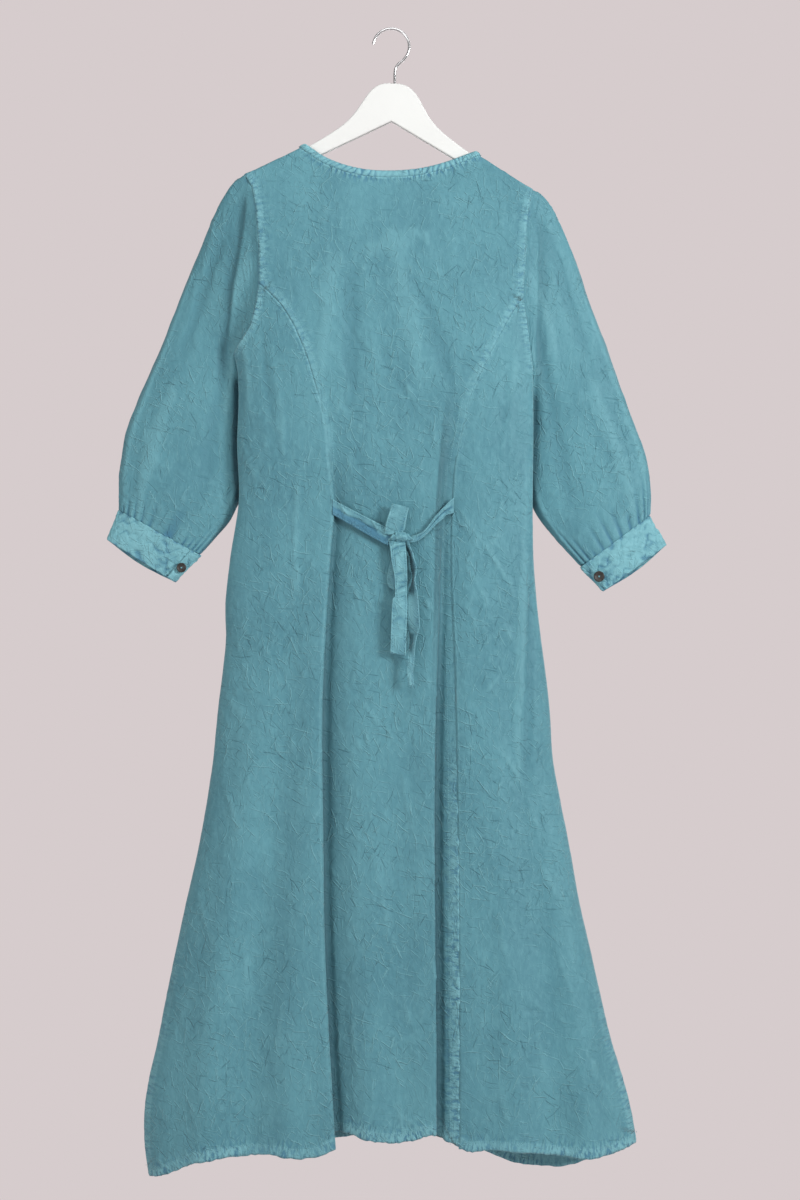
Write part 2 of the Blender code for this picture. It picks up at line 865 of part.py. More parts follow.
def hairpin(loop, upward):
    """A ribbon that leaves the knot, turns over and comes back behind itself."""

    def place(u, v):
        legs = 1 - np.abs(2 * u - 1)
        turn = np.clip(legs, 0, 1)
        along = loop["length"] * np.sin(turn * math.pi / 2)
        apart = loop["gap"] * np.cos(turn * math.pi / 2) ** 0.5
        behind = np.where(u > 0.5, 1, -1) * apart / 2
        x = loop["x"] + loop["lean"] * along / loop["length"] + (v - 0.5) * TIE_WIDTH
        drop = loop["drop"] + (-along if upward else along)
        middle = back_y(np.full_like(x, KNOT["x"]), np.full_like(x, KNOT["drop"])) - loop["lift"]
        return points_at(x, middle + behind, drop)

    return place


def bend_grid(name, columns, rows, place, material, wall, closed=False):
    """A grid of cloth: place gives the position of each point from its u and v."""
    bm = bmesh.new()
    bmesh.ops.create_grid(bm, x_segments=columns, y_segments=rows, size=0.5)
    uv = np.array([vertex.co[:2] for vertex in bm.verts]) + 0.5
    for vertex, point in zip(bm.verts, place(uv[:, 0], uv[:, 1])):
        vertex.co = point
    if closed:
        bmesh.ops.remove_doubles(bm, verts=bm.verts, dist=1e-5)
    mesh = bpy.data.meshes.new(name)
    bm.to_mesh(mesh)
    bm.free()
    thing = add_object(name, mesh, material)
    solid = thing.modifiers.new("wall", "SOLIDIFY")
    solid.thickness = wall * MM
    solid.offset = 0
    mesh.shade_smooth()
    return thing


def add_object(name, data, material):
    thing = bpy.data.objects.new(name, data)
    data.materials.append(material)
    bpy.data.collections["maxi_dress"].objects.link(thing)
    return thing


def make_body(cloth, trim):
    bend_grid("back_centre", sum(CENTRE_COLUMNS), sum(CENTRE_ROWS), place_back_centre, cloth, CLOTH)
    bend_grid("back_side_left", SIDE_COLUMNS, sum(SIDE_ROWS), place_back_side_left, cloth, CLOTH)
    bend_grid("back_side_right", SIDE_COLUMNS, sum(SIDE_ROWS), place_back_side_right, cloth, CLOTH)
    bend_grid("front", sum(FRONT_COLUMNS), sum(FRONT_ROWS), place_front, cloth, CLOTH)
    bend_grid("neck_binding", 56, 1, place_binding, trim, DOUBLE_CLOTH, closed=True)


def make_sleeves(cloth, trim):
    for side in ("left", "right"):
        bend_grid(
            "sleeve_" + side, SLEEVE_COLUMNS, SLEEVE_ROWS, place_sleeve(side), cloth, CLOTH, closed=True
        )
        bend_grid("cuff_" + side, CUFF_COLUMNS, CUFF_ROWS, place_cuff(side), trim, CUFF_WALL)


def make_tie(cloth):
    bend_grid("tie_strap_left", 8, 1, ribbon(STRAP_LEFT, TIE_WIDTH), cloth, DOUBLE_CLOTH)
    bend_grid("tie_strap_right", 8, 1, ribbon(STRAP_RIGHT, TIE_WIDTH * 0.8), cloth, DOUBLE_CLOTH)
    flat = ribbon(TAIL_FLAT, TIE_WIDTH, True)
    twisted = ribbon(TAIL_TWISTED, TIE_WIDTH, True, TIE_PINCH)
    bend_grid("tie_tail_flat", 12, 1, flat, cloth, DOUBLE_CLOTH)
    bend_grid("tie_tail_twisted", 16, 1, twisted, cloth, DOUBLE_CLOTH)
    bend_grid("tie_loop_up", 14, 1, hairpin(LOOP_UP, True), cloth, DOUBLE_CLOTH)
    bend_grid("tie_loop_low", 14, 1, hairpin(LOOP_LOW, False), cloth, DOUBLE_CLOTH)
    make_knot(cloth)


def make_knot(cloth):
    bm = bmesh.new()
    bmesh.ops.create_uvsphere(bm, u_segments=16, v_segments=8, radius=1)
    middle_y = float(back_y(np.array([KNOT["x"]]), np.array([KNOT["drop"]]))[0]) - KNOT["lift"]
    for vertex in bm.verts:
        x, y, z = vertex.co
        vertex.co = (
            (KNOT["x"] + math.copysign(abs(x) ** 0.7, x) * KNOT["half_width"]) * MM,
            (middle_y + y * KNOT["half_depth"]) * MM,
            (-KNOT["drop"] + math.copysign(abs(z) ** 0.8, z) * KNOT["half_height"]) * MM,
        )
    mesh = bpy.data.meshes.new("tie_knot")
    bm.to_mesh(mesh)
    bm.free()
    mesh.shade_smooth()
    add_object("tie_knot", mesh, cloth)


def make_buttons(material):
    for side, (x, drop, radius) in BUTTONS.items():
        bpy.ops.mesh.primitive_cylinder_add(
            vertices=20,
            radius=radius * MM,
            depth=BUTTON_THICKNESS * MM,
            rotation=(math.pi / 2, 0, 0),
            location=(x * MM, 0, -drop * MM),
        )
        button = bpy.context.object
        button.name = "button_" + side
        button.location.y = (button_seat(side, x, drop) - BUTTON_THICKNESS / 2 - SEAM_GAP) * MM
        button.data.materials.append(material)
        rim = button.modifiers.new("rim", "BEVEL")
        rim.width = 0.7 * MM
        rim.segments = 2
        for old in list(button.users_collection):
            old.objects.unlink(button)
        bpy.data.collections["maxi_dress"].objects.link(button)


def button_seat(side, x, drop):
    """The depth of the outermost face of the cuff under the button."""
    u, v = np.meshgrid(np.linspace(0, 1, 161), np.linspace(0, 1, 31))
    points = place_cuff(side)(u.ravel(), v.ravel()) / MM
    near = np.hypot(points[:, 0] - x, points[:, 2] + drop) < BUTTONS[side][2]
    return points[near, 1].min() - CUFF_WALL / 2


def hanger_outline():
    """The hanger's outline in its own frame: one half with a round end, then its mirror image."""
    table_x = [row[0] for row in HANGER_UPPER]
    between = [(a + b) / 2 for a, b in zip(table_x, table_x[1:-1])]
    upper = [(x, float(through(HANGER_UPPER, x))) for x in sorted(table_x + between)]
    slope = math.atan(HANGER_UNDER_SLOPE)
    end_x, end_drop = upper[-1]
    middle_x = end_x - HANGER_END_RADIUS * math.sin(slope)
    middle_drop = end_drop + HANGER_END_RADIUS * math.cos(slope)
    end = []
    for step in range(1, 8):
        angle = -math.pi / 2 + slope + math.pi * step / 8
        end.append(
            (
                middle_x + HANGER_END_RADIUS * math.cos(angle),
                middle_drop + HANGER_END_RADIUS * math.sin(angle),
            )
        )
    under = [(x, HANGER_NOTCH + HANGER_UNDER_SLOPE * x) for x in (HANGER_UNDER_FROM, 0)]
    half = upper + end + under
    return half + [(-x, drop) for x, drop in reversed(half[1:-1])]


def make_hanger(material):
    outline = hanger_outline()
    curve = bpy.data.curves.new("hanger", "CURVE")
    curve.dimensions = "2D"
    curve.fill_mode = "BOTH"
    curve.bevel_depth = HANGER_EDGE * MM
    curve.bevel_resolution = 1
    curve.extrude = (HANGER_THICKNESS / 2 - HANGER_EDGE) * MM
    curve.offset = -HANGER_EDGE * MM
    spline = curve.splines.new("POLY")
    spline.use_cyclic_u = True
    spline.points.add(len(outline) - 1)
    for point, (x, drop) in zip(spline.points, outline):
        point.co = (x * MM, -drop * MM, 0, 1)
    hanger = add_object("hanger", curve, material)
    hanger.rotation_euler = (math.pi / 2, HANGER_TILT, 0)
    hanger.location = (HANGER_MIDDLE[0] * MM, 0, -HANGER_MIDDLE[1] * MM)


def make_hook(material):
    centre = -(HOOK_RADIUS - WIRE_RADIUS)
    angles = np.linspace(HOOK_TIP_ANGLE, HOOK_TURN_ANGLE, 24)
    line = [(HOOK_RADIUS * math.cos(a), centre + HOOK_RADIUS * math.sin(a)) for a in angles]
    line += [(x, -drop) for x, drop in HOOK_STEM]
    line.append((HOOK_STEM[-1][0], -HANGER_MIDDLE[1] + SEAM_GAP))
    curve = bpy.data.curves.new("hook", "CURVE")
    curve.dimensions = "3D"
    curve.bevel_depth = WIRE_RADIUS * MM
    curve.bevel_resolution = 2
    curve.use_fill_caps = True
    spline = curve.splines.new("POLY")
    spline.points.add(len(line) - 1)
    for point, (x, z) in zip(spline.points, line):
        point.co = (x * MM, 0, z * MM, 1)
    add_object("hook", curve, material)


def main():
    clear_scene()
    make_collection("maxi_dress")
    cloth = make_material("teal_cloth", (0.115, 0.32, 0.39), 0.75)
    trim = make_material("pale_teal_trim", (0.19, 0.50, 0.58), 0.75)
    make_body(cloth, trim)
    make_sleeves(cloth, trim)
    make_tie(trim)
    make_buttons(make_material("dark_wood", (0.035, 0.02, 0.014), 0.5))
    make_hanger(make_material("white_paint", (0.86, 0.86, 0.84), 0.35))
    make_hook(make_material("chrome_wire", (0.75, 0.75, 0.76), 0.15, 1.0))


main()
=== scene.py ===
"""Looks of a maxi dress on a wooden hanger: washed and crinkled cloth, seams, stitches, wood, wire.

The dress hangs with its back towards -Y. Tables give millimetres: x is measured to the right of
the hook, and drop is measured down from the point where the hook rests on its rail.
"""

import math

import bpy
import numpy as np
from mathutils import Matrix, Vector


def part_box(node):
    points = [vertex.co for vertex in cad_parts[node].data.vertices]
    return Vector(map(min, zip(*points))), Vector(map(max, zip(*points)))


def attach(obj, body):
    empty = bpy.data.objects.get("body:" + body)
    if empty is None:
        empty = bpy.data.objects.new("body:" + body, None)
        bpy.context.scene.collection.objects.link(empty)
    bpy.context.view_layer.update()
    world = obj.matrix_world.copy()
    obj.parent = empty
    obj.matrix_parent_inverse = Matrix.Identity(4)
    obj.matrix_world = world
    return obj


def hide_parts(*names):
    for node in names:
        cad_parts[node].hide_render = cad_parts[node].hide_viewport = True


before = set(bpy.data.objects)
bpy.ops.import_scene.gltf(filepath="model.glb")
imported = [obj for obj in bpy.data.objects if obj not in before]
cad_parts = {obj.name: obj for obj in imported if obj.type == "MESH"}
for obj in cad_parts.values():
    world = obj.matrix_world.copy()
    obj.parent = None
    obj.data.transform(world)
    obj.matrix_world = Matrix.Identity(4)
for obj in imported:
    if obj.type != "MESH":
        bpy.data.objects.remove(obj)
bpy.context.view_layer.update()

MM = 0.001

# Thicknesses and gaps, in millimetres
DOUBLE_CLOTH = 1.8
SEAM_GAP = 0.4
ROLL = 8.0
ROLL_POWER = 3.5
SIDE_POWER = 5.0

# Outline of the body below the armholes. Above them it is the line that the cloth would keep
# without sleeves, which sets how far the panels have turned where the sleeves are sewn on.
BODY_SIDES = (
    # drop, left x, right x
    (150, -315, 300),
    (200, -300, 270),
    (300, -250, 214),
    (366, -226, 195),
    (395, -219, 189.5),
    (440, -213.5, 191.5),
    (461, -209.4, 192.5),
    (490, -207.5, 193),
    (560, -209.4, 193),
    (640, -207.2, 192.3),
    (720, -219, 193.5),
    (785, -225.3, 198.7),
    (828, -224.5, 203.6),
    (870, -228.7, 209.2),
    (920, -235, 215),
    (995, -242.3, 220.3),
    (1047, -250.2, 229.7),
    (1115, -262.5, 243.2),
    (1185, -278.5, 255.7),
    (1250, -292.4, 270.6),
    (1310, -304.8, 284),
    (1375, -317.4, 299.5),
    (1430, -329.9, 316.5),
    (1465, -334.8, 325.5),
    (1510, -335, 332.8),
    (1560, -328.6, 336),
)

# How far the back and the front stand out from the side seams
BODY_DEPTHS = (
    # drop, back, front
    (150, 8, 8),
    (190, 9, 9),
    (250, 15, 15),
    (350, 23, 24),
    (450, 28, 30),
    (560, 29, 32),
    (650, 27, 32),
    (800, 34, 39),
    (1000, 42, 48),
    (1200, 50, 57),
    (1400, 58, 65),
    (1560, 62, 69),
)

# Shoulder line over the hanger, continued inwards along the hanger's upper edge
SHOULDER = (
    # x, drop
    (-215, 203.9),
    (-199.9, 196.7),
    (-116.4, 157),
    (-80, 135),
    (-30, 78),
    (3, 73),
    (30, 80),
    (80, 143),
    (113.8, 167),
    (193, 217.5),
    (215, 231.5),
)

NECK_BACK = (
    # x, drop
    (-116.4, 157),
    (-91.5, 173.9),
    (-69.6, 183.3),
    (-38.3, 191.1),
    (5.3, 193.3),
    (42.8, 189.6),
    (74, 181.7),
    (95.9, 173.9),
    (113.8, 167),
)
NECK_FRONT = (
    # x, drop
    (-116.4, 157),
    (-103, 184),
    (-83, 214),
    (-50, 243),
    (0, 260),
    (50, 247),
    (82, 220),
    (101, 192),
    (113.8, 167),
)
NECK_HALF_WIDTH = 115.0
BINDING_OUT = 7.2
BINDING_DOWN = 8.0
BINDING_DOWN_AT_SHOULDER = 3.6
BINDING_ROLL = 9.0

# Armhole seams, from the shoulder tip down to the armpit
ARMHOLE_BACK_LEFT = (
    # drop, x
    (196.7, -199.9),
    (215, -189),
    (242.2, -183.6),
    (284.4, -180.3),
    (317, -179),
    (346.3, -179),
    (380.9, -184),
    (404.1, -190),
    (422.7, -203),
    (440, -213.5),
)
ARMHOLE_BACK_RIGHT = (
    # drop, x
    (217.5, 193),
    (239.5, 187.4),
    (273, 183.2),
    (311.6, 181.8),
    (366, 179.1),
    (395, 183.5),
    (425, 187.5),
    (461, 192.5),
)
ARMHOLE_FRONT_LEFT = (
    # drop, x
    (196.7, -199.9),
    (230, -182),
    (284.4, -173),
    (340, -171),
    (375, -175),
    (405, -185),
    (425, -199),
    (440, -213.5),
)
ARMHOLE_FRONT_RIGHT = (
    # drop, x
    (217.5, 193),
    (250, 179),
    (311.6, 170),
    (366, 167),
    (410, 172),
    (440, 182),
    (461, 192.5),
)
ARMPIT = {"left": 440.0, "right": 461.0}

# Princess seams of the back, from the armhole to the hem
PRINCESS_LEFT = (
    # drop, x
    (346.3, -179),
    (361.9, -162.1),
    (377.8, -147.6),
    (397.3, -135.5),
    (422.7, -123.2),
    (447, -113.6),
    (471.2, -106.2),
    (495.6, -99),
    (539.2, -89.2),
    (583, -85.7),
    (641.1, -79),
    (720, -84),
    (911, -93.8),
    (1100, -92.5),
    (1251, -89.8),
    (1400, -82),
    (1496, -76.5),
    (1560, -74),
)
PRINCESS_RIGHT = (
    # drop, x
    (366, 179.1),
    (374.1, 172.7),
    (414.9, 148.2),
    (455.7, 127.8),
    (492.5, 110.2),
    (544.1, 96.6),
    (598.5, 87),
    (639.3, 84.3),
    (911, 89),
    (1251, 92.5),
    (1560, 92.5),
)

# Crest of the long pressed fold right of the centre
RIGHT_CREST = (
    # drop, x
    (150, 121.4),
    (217, 121),
    (366, 105),
    (455, 87),
    (544, 75),
    (640, 67),
    (720, 65),
    (843, 62),
    (911, 60),
    (1496, 59.8),
    (1560, 59),
)

# Long folds of the back. Each rises to a crest and drops into a valley on its right.
KNIFE_STEP = 7.0
KNIFE_FOLDS = (
    # line, crest height, valley depth, crest width, valley width
    (PRINCESS_LEFT, 6, 12, 34, 26),
    (RIGHT_CREST, 8, 11, 40, 22),
)
KNIFE_STRENGTH = (
    # drop, share
    (430, 0),
    (560, 0.15),
    (640, 0.45),
    (760, 0.85),
    (911, 1),
    (1560, 1),
)

# Broad soft folds of the skirt: they open from the waist down to the hem
SOFT_FOLDS_BACK = (
    # x at the waist, x at the hem, height at the hem, half width at the hem
    (-150, -250, 9, 26),
    (-125, -190, -8, 28),
    (-100, -135, 6, 24),
    (-20, -28, 6, 30),
    (130, 165, 7, 26),
    (150, 218, -8, 28),
    (170, 268, 8, 24),
)
SOFT_FOLDS_FRONT = (
    # x at the waist, x at the hem, height at the hem, half width at the hem
    (-150, -255, 10, 28),
    (-115, -170, -10, 30),
    (-70, -85, 9, 28),
    (-10, -5, -9, 34),
    (55, 80, 9, 28),
    (110, 160, -9, 30),
    (165, 235, 10, 30),
)
SOFT_FROM = 640.0
SOFT_TO = 1500.0

HEM_BACK_LEFT = (
    # x, drop
    (-340, 1556.5),
    (-328, 1555.6),
    (-290, 1541),
    (-267, 1529),
    (-242, 1523),
    (-204, 1518),
    (-159, 1516),
    (-116, 1519),
    (-92, 1515),
    (-74, 1506),
)
HEM_BACK_CENTRE = (
    # x, drop
    (-78, 1488),
    (-55, 1489),
    (-34, 1494.5),
    (-15, 1498),
    (30, 1495),
    (59, 1488),
    (72, 1498),
    (93, 1505),
)
HEM_BACK_RIGHT = (
    # x, drop
    (90, 1506),
    (99, 1510),
    (126, 1509),
    (168, 1511),
    (220, 1518),
    (265, 1522),
    (304, 1516),
    (326, 1511.5),
    (340, 1509.7),
)
HEM_FRONT = (
    # x, drop
    (-340, 1556.5),
    (-290, 1548),
    (-200, 1538),
    (-100, 1528),
    (0, 1511),
    (60, 1510),
    (100, 1525),
    (150, 1548),
    (200, 1560),
    (240, 1562),
    (276, 1547),
    (320, 1520),
    (340, 1509.7),
)

# Levels of the grid's rows that follow the tilt of the dress, given at the two sides
BUST_LEVEL = (346.3, 366.0)
WAIST_LEVEL = (641.0, 650.0)

# Where the roll over the shoulder has ended, below the upper edge of a panel
ROLL_END = 9.0

# Where the upper edge, the end of the roll, the bust or armpit, and the hem lie in v
CENTRE_BREAKS = (0, 0.012, 0.14, 1)
FRONT_BREAKS = (0, 0.012, 0.19, 1)

# Rows of a side panel above and below the waist, in proportion
SIDE_ROWS = (1, 3)

# Sleeves, from the armhole to the cuff seam: the two edges of the flattened tube
SLEEVE_LEFT = (
    # outer x, outer drop, inner x, inner drop, depth of the middle, half depth
    (-199.9, 196.7, -213.5, 440, 0, 22),
    (-216.4, 208.2, -212, 443.5, 7, 21),
    (-230.7, 228.6, -206, 450, 12, 20),
    (-242.9, 250.9, -202, 461, 18, 20),
    (-261.3, 293.8, -199, 480, 24, 20),
    (-285.7, 350.9, -197, 505, 30, 22),
    (-314.2, 424.2, -196, 540, 32, 24),
    (-342.7, 489.5, -196.5, 580, 31, 25),
    (-363.1, 542.5, -200, 615, 29, 24),
    (-369.2, 575.1, -208, 640, 27, 23),
    (-373.3, 607.6, -222, 668, 24, 21),
    (-373, 635, -243, 693, 22, 18),
    (-372.5, 652, -262, 714, 20, 15),
)
SLEEVE_RIGHT = (
    # outer x, outer drop, inner x, inner drop, depth of the middle, half depth
    (193, 217.5, 192.5, 461, 0, 22),
    (205, 222.5, 190, 464.5, 7, 21),
    (219, 239, 185, 471, 12, 20),
    (230.5, 259, 183, 482, 18, 20),
    (250.2, 306.1, 182, 499, 24, 20),
    (270.6, 363.3, 181, 522, 30, 22),
    (291, 416.3, 180.5, 550, 32, 24),
    (318, 492, 181.5, 585, 31, 25),
    (338, 545, 187, 617, 29, 24),
    (347.5, 573, 191.5, 642, 27, 23),
    (353.5, 603, 204, 666, 24, 21),
    (355, 632, 228, 695, 22, 18),
    (353.3, 660.4, 260, 730, 20, 15),
)
SLEEVE_COLUMNS = 48
SLEEVE_JOIN = 0.34
SLEEVE_FULLNESS = 0.75

# Cuffs: the lower edge of each, the upper edge being the sleeve's last row
CUFF_EDGE = {
    # outer x, outer drop, inner x, inner drop, depth of the middle, half depth
    "left": (-388.7, 692.5, -296.6, 750, 17, 12),
    "right": (376.7, 699.4, 290.5, 762.8, 17, 12),
}
CUFF_WALL = 2.0
CUFF_HEIGHT = 45.0
CUFF_LAP_START = 0.46
CUFF_OVERLAP = 0.075
CUFF_LAP_LIFT = 3.2

# Back tie: the width of its ribbons, and its knot
TIE_WIDTH = 19.5
KNOT = {"x": 11.6, "drop": 690.5, "half_height": 9.5, "half_depth": 6.5, "lift": 9.0}

# Hanger, in its own frame: x from its middle, drop from its top
HANGER_TILT = math.radians(2.8)
HANGER_MIDDLE = (2.9, 73.6)
HANGER_THICKNESS = 11.0
HANGER_EDGE = 2.0
HANGER_UPPER = (
    # x, drop
    (0, 0),
    (11.3, 0.2),
    (22.5, 4.5),
    (32.1, 13.3),
    (43, 30.6),
    (51.1, 43.2),
    (64.2, 57.9),
    (82.4, 72),
    (104, 86.6),
    (125, 98.5),
    (186, 132.4),
)
HANGER_NOTCH = 51.4
HANGER_UNDER_SLOPE = 0.536
HANGER_END_RADIUS = 10.0
HANGER_UNDER_FROM = 170.0

# Hook: centre and radius of its round top, and the stem that goes down to the hanger
WIRE_RADIUS = 1.85
HOOK_RADIUS = 24.5
HOOK_TIP_ANGLE = math.radians(172)
HOOK_TURN_ANGLE = math.radians(-32)
HOOK_STEM = (
    # x, drop
    (16.5, 41),
    (10, 46.5),
    (6, 52.5),
    (4.8, 60),
)


def through(rows, where, column=1):
    """A smooth curve through one column of a table, read at the places given."""
    xs = np.array([row[0] for row in rows], float)
    ys = np.array([row[column] for row in rows], float)
    slopes = np.gradient(ys, xs)
    where = np.clip(np.asarray(where, float), xs[0], xs[-1])
    index = np.clip(np.searchsorted(xs, where, side="right") - 1, 0, len(xs) - 2)
    span = xs[index + 1] - xs[index]
    t = (where - xs[index]) / span
    start = (1 + 2 * t) * (1 - t) ** 2 * ys[index] + t * (1 - t) ** 2 * span * slopes[index]
    end = t**2 * (3 - 2 * t) * ys[index + 1] + t**2 * (t - 1) * span * slopes[index + 1]
    return start + end


def through_rows(rows, where, column):
    """The same for a table with no column of places: where counts its rows from 0."""
    return through([(index, *row) for index, row in enumerate(rows)], where, column + 1)


def straight(rows, where, column=1):
    """One column of a table with straight runs between the rows, for lines that have corners."""
    return np.interp(where, [row[0] for row in rows], [row[column] for row in rows])


def smoothstep(t):
    t = np.clip(t, 0, 1)
    return t * t * (3 - 2 * t)


def sides(drop):
    return through(BODY_SIDES, drop, 1), through(BODY_SIDES, drop, 2)


def stand_out(x, drop, column):
    """How far the body's wall stands from the plane of the side seams."""
    left, right = sides(drop)
    across = np.clip(np.abs((2 * x - left - right) / (right - left)), 0, 1)
    rounding = np.sqrt(1 - across**SIDE_POWER)
    below = np.clip((drop - straight(SHOULDER, x)) / ROLL, 0, 1)
    roll = (1 - (1 - below) ** ROLL_POWER) ** (1 / ROLL_POWER)
    return through(BODY_DEPTHS, drop, column) * rounding * roll, rounding


def soft_folds(x, drop, rows):
    opened = smoothstep((drop - SOFT_FROM) / (SOFT_TO - SOFT_FROM))
    total = np.zeros_like(x)
    for waist_x, hem_x, height, half_width in rows:
        middle = waist_x + (hem_x - waist_x) * opened
        total += height * opened * np.exp(-(((x - middle) / half_width) ** 2))
    return total


def knife_folds(x, drop):
    total = np.zeros_like(x)
    strength = through(KNIFE_STRENGTH, drop)
    for line, height, depth, crest_width, valley_width in KNIFE_FOLDS:
        past = x - through(line, drop)
        crest = height * np.exp(-((np.minimum(past, 0) / crest_width) ** 2))
        valley = -depth * np.exp(-((np.maximum(past - KNIFE_STEP, 0) / valley_width) ** 2))
        step = smoothstep((past + 2) / (KNIFE_STEP + 2))
        total += strength * (crest * (1 - step) + valley * step)
    return total


def back_y(x, drop):
    depth, rounding = stand_out(x, drop, 1)
    folds = knife_folds(x, drop) + soft_folds(x, drop, SOFT_FOLDS_BACK)
    return -depth - folds * rounding


def front_y(x, drop):
    depth, rounding = stand_out(x, drop, 2)
    return depth + soft_folds(x, drop, SOFT_FOLDS_FRONT) * rounding


def points_at(x, y, drop):
    return np.column_stack([x, y, -drop]) * MM


def neck_line(rows, share_out):
    """The neckline moved outwards by a share of the binding's width, as x and drop."""
    xs = np.linspace(rows[0][0], rows[-1][0], 61)
    drops = through(rows, xs)
    across = xs / NECK_HALF_WIDTH
    down = BINDING_DOWN + (BINDING_DOWN_AT_SHOULDER - BINDING_DOWN) * across**2
    return xs + share_out * BINDING_OUT * across, drops + share_out * down


def top_edge(x, neck_rows, gap):
    """Drop of a body panel's upper edge: under the neck binding, then along the shoulder."""
    neck_x, neck_drop = neck_line(neck_rows, 1)
    in_neck = np.interp(x, neck_x, neck_drop + gap, left=0, right=0)
    return np.maximum(in_neck, straight(SHOULDER, x))


def along_levels(v, breaks, levels):
    """Drop at v where each level is the drop at one of the breaks."""
    drop = levels[0]
    for start, end, low, high in zip(breaks, breaks[1:], levels, levels[1:]):
        drop = drop + (high - low) * np.clip((v - start) / (end - start), 0, 1)
    return drop


def settle_on(x_at, edge, guess):
    """The drop at which a column of the grid meets an edge that is given by x."""
    drop = guess
    for _ in range(40):
        drop = 0.5 * drop + 0.5 * edge(x_at(drop))
    return drop


def centre_left(drop):
    armhole = straight(ARMHOLE_BACK_LEFT, drop)
    return np.where(drop < PRINCESS_LEFT[0][0], armhole, through(PRINCESS_LEFT, drop)) + SEAM_GAP / 2


def centre_right(drop):
    armhole = straight(ARMHOLE_BACK_RIGHT, drop)
    return np.where(drop < PRINCESS_RIGHT[0][0], armhole, through(PRINCESS_RIGHT, drop)) - SEAM_GAP / 2


def side_panel(u, v, seam, armhole, side, hem_rows):
    """A back side panel: u runs from the princess seam to the side of the body."""
    outward = -1 if side == "left" else 1
    column = 1 if side == "left" else 2
    spread = np.sin(u * math.pi / 2) ** 1.2

    def x_at(drop):
        start = through(seam, drop) + outward * SEAM_GAP / 2
        return start + (through(BODY_SIDES, drop, column) - start) * spread

    low, high = seam[0][0] + 0 * u, ARMPIT[side] + 0 * u
    for _ in range(40):
        middle = (low + high) / 2
        beyond = outward * (x_at(middle) - straight(armhole, middle)) > 0
        low, high = np.where(beyond, middle, low), np.where(beyond, high, middle)
    top = (low + high) / 2
    waist = WAIST_LEVEL[0] + 0 * u if side == "left" else WAIST_LEVEL[1] + 0 * u
    hem = settle_on(x_at, lambda x: through(hem_rows, x), 1520 + 0 * u)
    drop = along_levels(v, row_breaks(*SIDE_ROWS), (top, waist, hem))
    x = x_at(drop)
    y = back_y(x, drop) - SEAM_GAP / 2
    return points_at(x, y, drop)


def place_back_side_left(u, v):
    return side_panel(u, v, PRINCESS_LEFT, ARMHOLE_BACK_LEFT, "left", HEM_BACK_LEFT)


def place_back_side_right(u, v):
    return side_panel(u, v, PRINCESS_RIGHT, ARMHOLE_BACK_RIGHT, "right", HEM_BACK_RIGHT)


def front_edge(drop, armhole, column, armpit):
    return np.where(drop < armpit, straight(armhole, drop), through(BODY_SIDES, drop, column))


def place_binding(u, v):
    """The closed strip round the neck: the back for the first half of u, then the front."""
    turn = np.cos(2 * math.pi * u)
    share = (1 - turn) / 2
    points = np.zeros((len(u), 3))
    for on_half, rows, depth in ((u <= 0.5, NECK_BACK, back_y), (u > 0.5, NECK_FRONT, front_y)):
        inner_x, inner_drop = neck_line(rows, 0)
        outer_x, outer_drop = neck_line(rows, 1)
        steps = np.linspace(0, 1, len(inner_x))
        x = np.interp(share, steps, inner_x) * (1 - v) + np.interp(share, steps, outer_x) * v
        drop = np.interp(share, steps, inner_drop) * (1 - v) + np.interp(share, steps, outer_drop) * v
        on_ridge = np.clip(np.abs(np.sin(2 * math.pi * u)) * BINDING_ROLL, 0, 1)
        points[on_half] = points_at(x, depth(x, drop) * on_ridge, drop)[on_half]
    return points


def station(rows, t):
    """The six values of a sleeve's or ribbon's table, read between its rows at t from 0 to 1."""
    where = t * (len(rows) - 1)
    return [through_rows(rows, where, column) for column in range(6)]


def flattened_ring(values, w):
    """A point round a flattened tube: w runs down the back from the outer edge, then up the front."""
    outer_x, outer_drop, inner_x, inner_drop, middle, half = values
    share = (1 - np.cos(2 * math.pi * w)) / 2
    wave = np.sin(2 * math.pi * w)
    depth = middle - np.sign(wave) * half * np.abs(wave) ** SLEEVE_FULLNESS
    x = outer_x + (inner_x - outer_x) * share
    drop = outer_drop + (inner_drop - outer_drop) * share
    return x, depth, drop


def armhole_ring(edges, w):
    """The armhole seam of the body at the same w as the sleeve's ring."""
    share = (1 - np.cos(2 * math.pi * w)) / 2
    found = []
    for edge in edges:
        drop = edge[0, 2] + (edge[-1, 2] - edge[0, 2]) * share
        x, y = (np.interp(drop, edge[:, 2], edge[:, column]) for column in (0, 1))
        found.append([x, y, drop])
    on_ridge = np.clip(np.abs(np.sin(2 * math.pi * w)) * SLEEVE_COLUMNS, 0, 1)
    x, y, drop = (np.where(w <= 0.5, back, front) for back, front in zip(*found))
    return x, y * on_ridge, drop


def cuff_values(side, v):
    top = np.array((SLEEVE_LEFT if side == "left" else SLEEVE_RIGHT)[-1], float)
    bottom = np.array(CUFF_EDGE[side], float)
    lead = SEAM_GAP / CUFF_HEIGHT
    return [a + (b - a) * (lead + (1 - lead) * v) for a, b in zip(top, bottom)]


def place_cuff(side):
    """The band laps over itself at the inner edge of the back, where it is buttoned."""

    def place(u, v):
        w = CUFF_LAP_START - u * (1 + CUFF_OVERLAP)
        lap = smoothstep((u * (1 + CUFF_OVERLAP) - (1 - CUFF_OVERLAP)) / CUFF_OVERLAP)
        values = cuff_values(side, v)
        across = np.hypot(values[2] - values[0], values[3] - values[1])
        wider = 1 + lap * CUFF_LAP_LIFT / across
        values[2] = values[0] + (values[2] - values[0]) * wider
        values[3] = values[1] + (values[3] - values[1]) * wider
        values[5] = values[5] + lap * CUFF_LAP_LIFT
        x, y, drop = flattened_ring(values, w)
        return points_at(x, y, drop)

    return place


